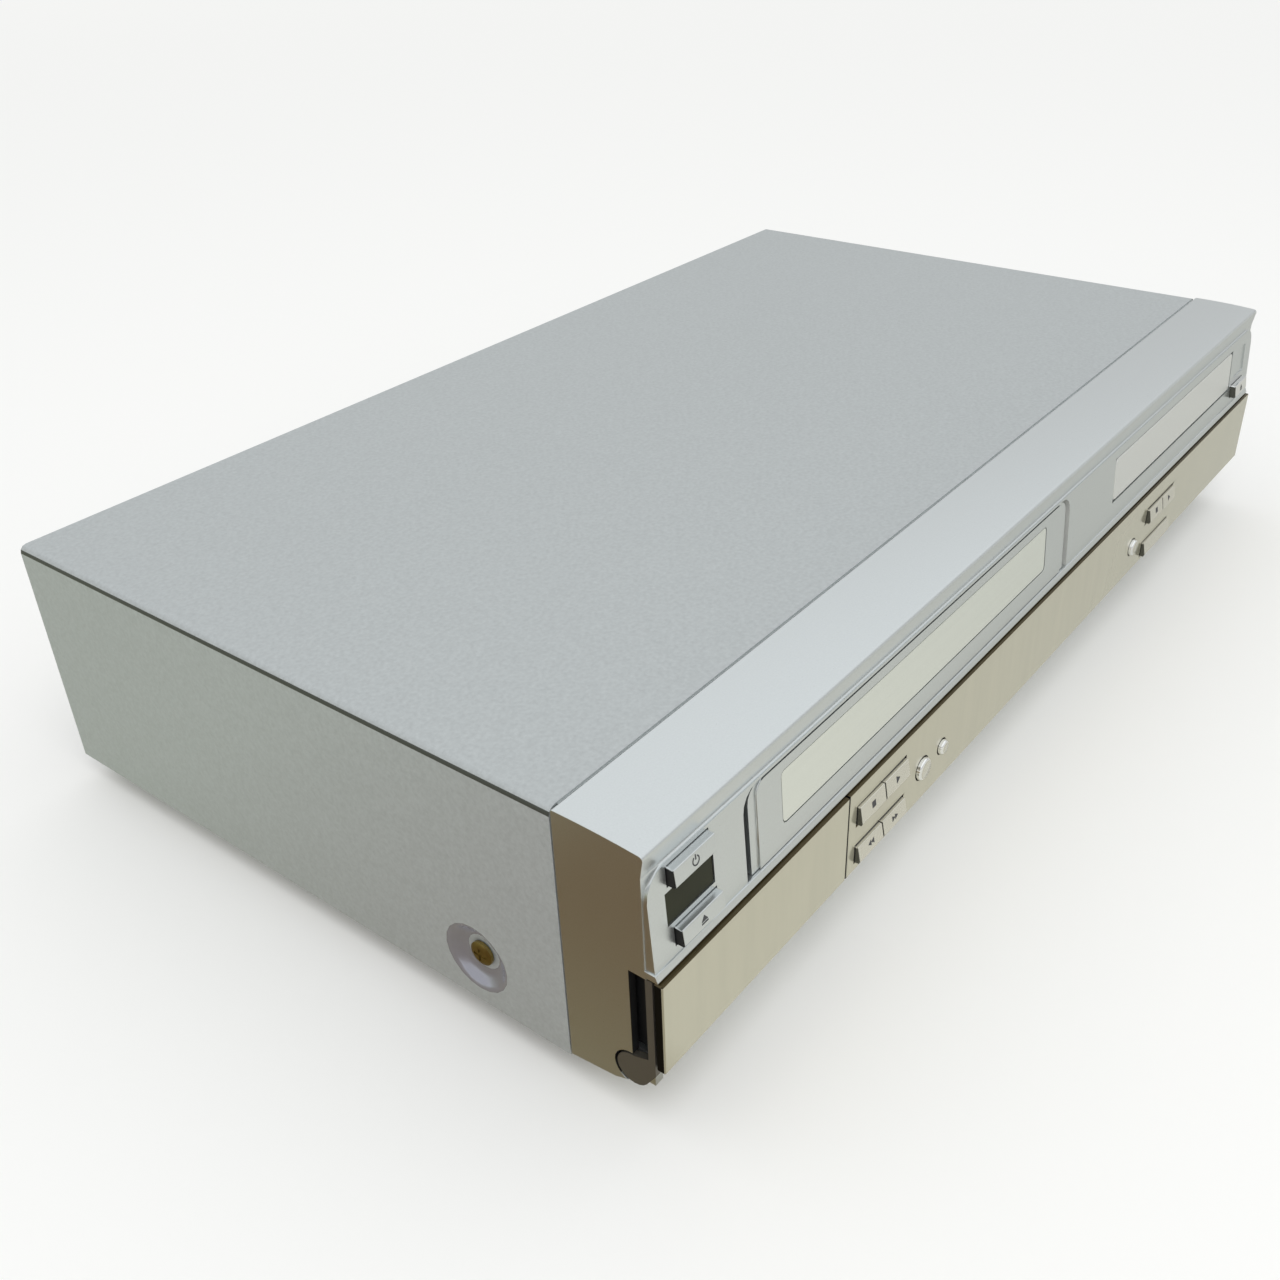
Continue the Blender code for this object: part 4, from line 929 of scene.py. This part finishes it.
class DECK_OT_sockets(bpy.types.Operator):
    """Coloured collars on the jacks, front and rear, and the finishes of their blocks."""

    bl_idname = "deck.sockets"
    bl_label = "Jack collars"

    def execute(self, context):
        sizes = context.scene.deck_sizes
        tree = collar_tree()
        lengths = {
            "Radius": sizes.collar_radius, "Bore": sizes.collar_bore, "Depth": sizes.collar_depth}
        for name, points in self.spots().items():
            piece = grown(name.replace("_abs", "_collars"), tree, points, name, lengths)
            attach(piece, CABINET)
        for name in ("rear_jack_block", "front_jack_block", "ac_inlet"):
            dress(name, "moulded_black_abs")
        dress("tuner_box", "zinc_plated_steel")
        return {"FINISHED"}

    def spots(self):
        """The middle and the outward direction of every collar, by finish."""
        rear = [self.rear_column(column) for column in range(REAR_JACK_COLUMNS)]
        front = [self.front_spot(column) for column in range(FRONT_JACK_COUNT)]
        return {
            "yellow_jack_abs": rear[0] + front[0:1],
            "white_jack_abs": rear[1] + rear[3] + front[1:2],
            "red_jack_abs": rear[2] + rear[4] + front[2:3],
        }

    def rear_column(self, column):
        low, high = corners_of("rear_jack_block")
        x = low.x + REAR_JACK_INSET[0] + REAR_JACK_PITCH[0] * column
        rises = [
            high.z - REAR_JACK_INSET[1] - REAR_JACK_PITCH[1] * row for row in range(REAR_JACK_ROWS)]
        return [(Vector((x, high.y, z)), (0, 1, 0)) for z in rises]

    def front_spot(self, column):
        low, high = corners_of("front_jack_block")
        x = low.x + FRONT_JACK_INSET + FRONT_JACK_PITCH * column
        return (Vector((x, low.y, (low.z + high.z) / 2)), (0, -1, 0))


class DECK_OT_inside(bpy.types.Operator):
    """Finishes of the chassis, the boards and the two mechanisms."""

    bl_idname = "deck.inside"
    bl_label = "Inside and underside"

    def execute(self, context):
        flat = {
            "zinc_plated_steel": ("bottom_chassis", "rear_panel", "disc_clamp"),
            "blackened_steel": ("deck_plate", "cassette_holder"),
            "ground_steel": ("erase_head", "audio_head"),
            "moulded_black_abs": ("loader_frame", "pickup_sled"),
            "lacquered_circuit_board": (
                "main_board", "power_board", "front_board", "switch_board"),
            "tinted_acrylic": ("display_module",),
        }
        turned = {
            "ground_steel": (
                "capstan", "lower_drum", "upper_drum", "guide_rod_left", "guide_rod_right"),
            "moulded_black_abs": ("turntable",),
            "natural_acetal": ("supply_reel", "takeup_reel"),
            "moulded_rubber": (
                "pinch_roller", "foot_front_left", "foot_front_right", "foot_rear_left",
                "foot_rear_right"),
        }
        for groups, finisher in ((flat, paint), (turned, dress)):
            for material, names in groups.items():
                for name in names:
                    finisher(name, material)
        self.shade_sheet()
        return {"FINISHED"}

    def shade_sheet(self):
        """A black sheet on the inside of the rear panel, over the cooling slots, that blocks their light
        so the inside stays in shade.
        """
        panel = corners_of("rear_panel")[0]
        left, right = (panel.x + reach for reach in SHEET_ACROSS)
        bottom, top = (panel.z + reach for reach in SHEET_UP)
        piece = plate(
            "shade_sheet", [oblong(left, right, bottom, top)],
            lambda u, v, w: (u, panel.y - w, v), SHEET_THICKNESS, "black_shade_sheet")
        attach(piece, CABINET)


class DECK_OT_stage(bpy.types.Operator):
    """Pale floor, soft light, world and the photograph's camera."""

    bl_idname = "deck.stage"
    bl_label = "Stage"

    def execute(self, context):
        scene = context.scene
        scene.view_settings.view_transform = "Standard"
        self.floor()
        self.world(scene)
        self.reflection_card()
        self.lamp(scene)
        self.camera(scene)
        return {"FINISHED"}

    def seen(self, tree):
        """1 for rays from the eye, straight or by way of a mirror or glass, and 0 for the rest."""
        path = node(tree, "ShaderNodeLightPath")
        mirrored = node(tree, "ShaderNodeMath", {
            0: path.outputs["Is Camera Ray"], 1: path.outputs["Is Glossy Ray"],
        }, operation="MAXIMUM")
        both = node(tree, "ShaderNodeMath", {
            0: mirrored.outputs["Value"], 1: path.outputs["Is Transmission Ray"],
        }, operation="MAXIMUM")
        return both.outputs["Value"]

    def fill(self, ramp, stops):
        """Sets a colour ramp's stops, in rising order, from places and hex colours."""
        stock = ramp.color_ramp.elements
        stock.remove(stock[1])
        stock[0].position = stops[0][0]
        stock[0].color = linear(stops[0][1])
        for place, shade in stops[1:]:
            stock.new(place).color = linear(shade)

    def sheet(self, name, reach, height, material):
        """A level square of the stage."""
        bm = bmesh.new()
        bmesh.ops.create_grid(bm, x_segments=1, y_segments=1, size=reach)
        bmesh.ops.translate(bm, verts=bm.verts, vec=(0.0, 0.0, height))
        mesh = mesh_from(bm, name)
        mesh.materials.append(material)
        piece = show(mesh, name)
        return piece

    def floor(self):
        """A matt floor that fades into haze far from the deck."""
        material, tree = empty_material("pale_floor")
        material.cycles.emission_sampling = "NONE"
        place = node(tree, "ShaderNodeTexCoord")
        reach = node(
            tree, "ShaderNodeVectorMath", {0: place.outputs["Object"]}, operation="LENGTH")
        far = node(tree, "ShaderNodeMapRange", {
            "Value": reach.outputs["Value"], "From Min": FLOOR_FADE[0], "From Max": FLOOR_FADE[1]})
        fade = node(tree, "ShaderNodeMath", {
            0: far.outputs["Result"], 1: self.seen(tree)}, operation="MULTIPLY")
        matt = node(tree, "ShaderNodeBsdfPrincipled", {
            "Base Color": linear("FCFAF7"), "Roughness": 0.9, "Specular IOR Level": 0.0})
        haze = node(tree, "ShaderNodeEmission", {"Color": linear("FAFAF8"), "Strength": 1.0})
        both = node(tree, "ShaderNodeMixShader", {
            0: fade.outputs["Value"], 1: matt.outputs["BSDF"], 2: haze.outputs["Emission"]})
        node(tree, "ShaderNodeOutputMaterial", {"Surface": both.outputs["Shader"]})
        self.sheet("studio_floor", FLOOR_REACH, 0.0, material)

    def reflection_card(self):
        """A glowing card on the floor that only the glossy finishes see, which paints reflections on
        them: brown past the left end, greyer to the right.

        The brown stops in front of the deck, and turns olive beside the rear half of the cover.
        """
        material, tree = empty_material("reflection_card_glow")
        place = node(tree, "ShaderNodeTexCoord")
        axes = node(tree, "ShaderNodeSeparateXYZ", {"Vector": place.outputs["Object"]})
        x, y = axes.outputs["X"], axes.outputs["Y"]
        limit = node(tree, "ShaderNodeMapRange", {
            "Value": y, "From Min": CARD_FRONT[0], "From Max": CARD_FRONT[1],
            "To Min": CARD_FRONT_LIMIT[0], "To Max": CARD_FRONT_LIMIT[1]})
        beside = node(tree, "ShaderNodeMath", {
            0: x, 1: limit.outputs["Result"]}, operation="MAXIMUM")
        across = node(tree, "ShaderNodeMapRange", {
            "Value": beside.outputs["Value"], "From Min": -CARD_SPAN, "From Max": CARD_SPAN})
        ramp = node(tree, "ShaderNodeValToRGB", {"Fac": across.outputs["Result"]})
        self.fill(ramp, [
            ((stop + CARD_SPAN) / (2 * CARD_SPAN), shade) for stop, shade in CARD_STOPS])
        rear = node(tree, "ShaderNodeMapRange", {
            "Value": y, "From Min": CARD_OLIVE_Y[0], "From Max": CARD_OLIVE_Y[1]})
        left = node(tree, "ShaderNodeMapRange", {
            "Value": x, "From Min": CARD_OLIVE_X[0], "From Max": CARD_OLIVE_X[1],
            "To Min": 1.0, "To Max": 0.0})
        share = node(tree, "ShaderNodeMath", {
            0: rear.outputs["Result"], 1: left.outputs["Result"]}, operation="MULTIPLY")
        tone = node(tree, "ShaderNodeMix", {
            0: share.outputs["Value"], 6: ramp.outputs["Color"], 7: linear("A6AE90"),
        }, data_type="RGBA")
        glow = node(tree, "ShaderNodeEmission", {"Color": tone.outputs[2], "Strength": 1.0})
        node(tree, "ShaderNodeOutputMaterial", {"Surface": glow.outputs["Emission"]})
        card = self.sheet("reflection_card", CARD_REACH, CARD_LIFT, material)
        card.visible_camera = False
        card.visible_diffuse = False
        card.visible_shadow = False
        card.visible_transmission = False

    def world(self, scene):
        """A sky that lights the deck, with a pale wall where it is seen or mirrored."""
        world = bpy.data.worlds.new("studio")
        world.use_nodes = True
        tree = world.node_tree
        tree.nodes.clear()
        place = node(tree, "ShaderNodeTexCoord")
        axes = node(tree, "ShaderNodeSeparateXYZ", {"Vector": place.outputs["Generated"]})
        height = axes.outputs["Z"]
        rise = node(tree, "ShaderNodeMapRange", {"Value": height, "From Max": SKY_RISE})
        sky = node(tree, "ShaderNodeMix", {
            0: rise.outputs["Result"], 6: linear("8C8A82"), 7: linear("F8FBFD"),
        }, data_type="RGBA")
        lit = node(tree, "ShaderNodeBackground", {"Color": sky.outputs[2], "Strength": 1.0})
        ramp = node(tree, "ShaderNodeValToRGB", {"Fac": height})
        self.fill(ramp, WALL_STOPS)
        wall = node(tree, "ShaderNodeBackground", {"Color": ramp.outputs["Color"], "Strength": 1.0})
        both = node(tree, "ShaderNodeMixShader", {
            0: self.seen(tree), 1: lit.outputs["Background"], 2: wall.outputs["Background"]})
        node(tree, "ShaderNodeOutputWorld", {"Surface": both.outputs["Shader"]})
        scene.world = world

    def lamp(self, scene):
        """A broad lamp over the front left, which no finish mirrors."""
        light = bpy.data.lights.new("key_light", "AREA")
        light.shape = "DISK"
        light.size = LAMP_SIZE
        light.energy = LAMP_POWER
        obj = bpy.data.objects.new("key_light", light)
        obj.location = LAMP_PLACE
        obj.rotation_euler = (LAMP_AIM - LAMP_PLACE).to_track_quat("-Z", "Y").to_euler()
        obj.visible_glossy = False
        scene.collection.objects.link(obj)

    def camera(self, scene):
        """The camera of the photograph, turned by its azimuth, elevation and roll."""
        lens = bpy.data.cameras.new("photo_view")
        lens.sensor_width = SENSOR_WIDTH
        lens.lens = LENS
        lens.clip_start = CLIP_START
        obj = bpy.data.objects.new("photo_view", lens)
        azimuth, elevation, roll = (
            math.radians(a) for a in (CAMERA_AZIMUTH, CAMERA_ELEVATION, CAMERA_ROLL))
        back = Vector((
            math.sin(azimuth) * math.cos(elevation), -math.cos(azimuth) * math.cos(elevation),
            math.sin(elevation)))
        right = Vector((math.cos(azimuth), math.sin(azimuth), 0.0))
        up = back.cross(right)
        turned_right = right * math.cos(roll) + up * math.sin(roll)
        turned_up = up * math.cos(roll) - right * math.sin(roll)
        turned = Matrix((turned_right, turned_up, back)).transposed().to_4x4()
        obj.matrix_world = Matrix.Translation(CAMERA_PLACE) @ turned
        scene.collection.objects.link(obj)
        scene.camera = obj


class DECK_PT_panel(bpy.types.Panel):
    """Shows the deck's steps, sizes and colours in the sidebar."""

    bl_idname = "DECK_PT_panel"
    bl_label = "Disc and cassette deck"
    bl_space_type = "VIEW_3D"
    bl_region_type = "UI"
    bl_category = "Deck"

    def draw(self, context):
        for step in STEPS:
            self.layout.operator(step.bl_idname)
        for group in (context.scene.deck_sizes, context.scene.deck_colours):
            for name in group.__annotations__:
                self.layout.prop(group, name)


STEPS = (
    DECK_OT_cover, DECK_OT_front, DECK_OT_panels, DECK_OT_flap, DECK_OT_drawer, DECK_OT_keys,
    DECK_OT_marks, DECK_OT_screws, DECK_OT_sockets, DECK_OT_inside, DECK_OT_stage,
)
CLASSES = (DeckSizes, DeckColours) + STEPS + (DECK_PT_panel,)


def register():
    for item in CLASSES:
        bpy.utils.register_class(item)
    bpy.types.Scene.deck_sizes = bpy.props.PointerProperty(type=DeckSizes)
    bpy.types.Scene.deck_colours = bpy.props.PointerProperty(type=DeckColours)


def unregister():
    del bpy.types.Scene.deck_colours
    del bpy.types.Scene.deck_sizes
    for item in reversed(CLASSES):
        bpy.utils.unregister_class(item)


def main():
    register()
    for step in STEPS:
        group, name = step.bl_idname.split(".")
        getattr(getattr(bpy.ops, group), name)()


if __name__ == "__main__":
    main()
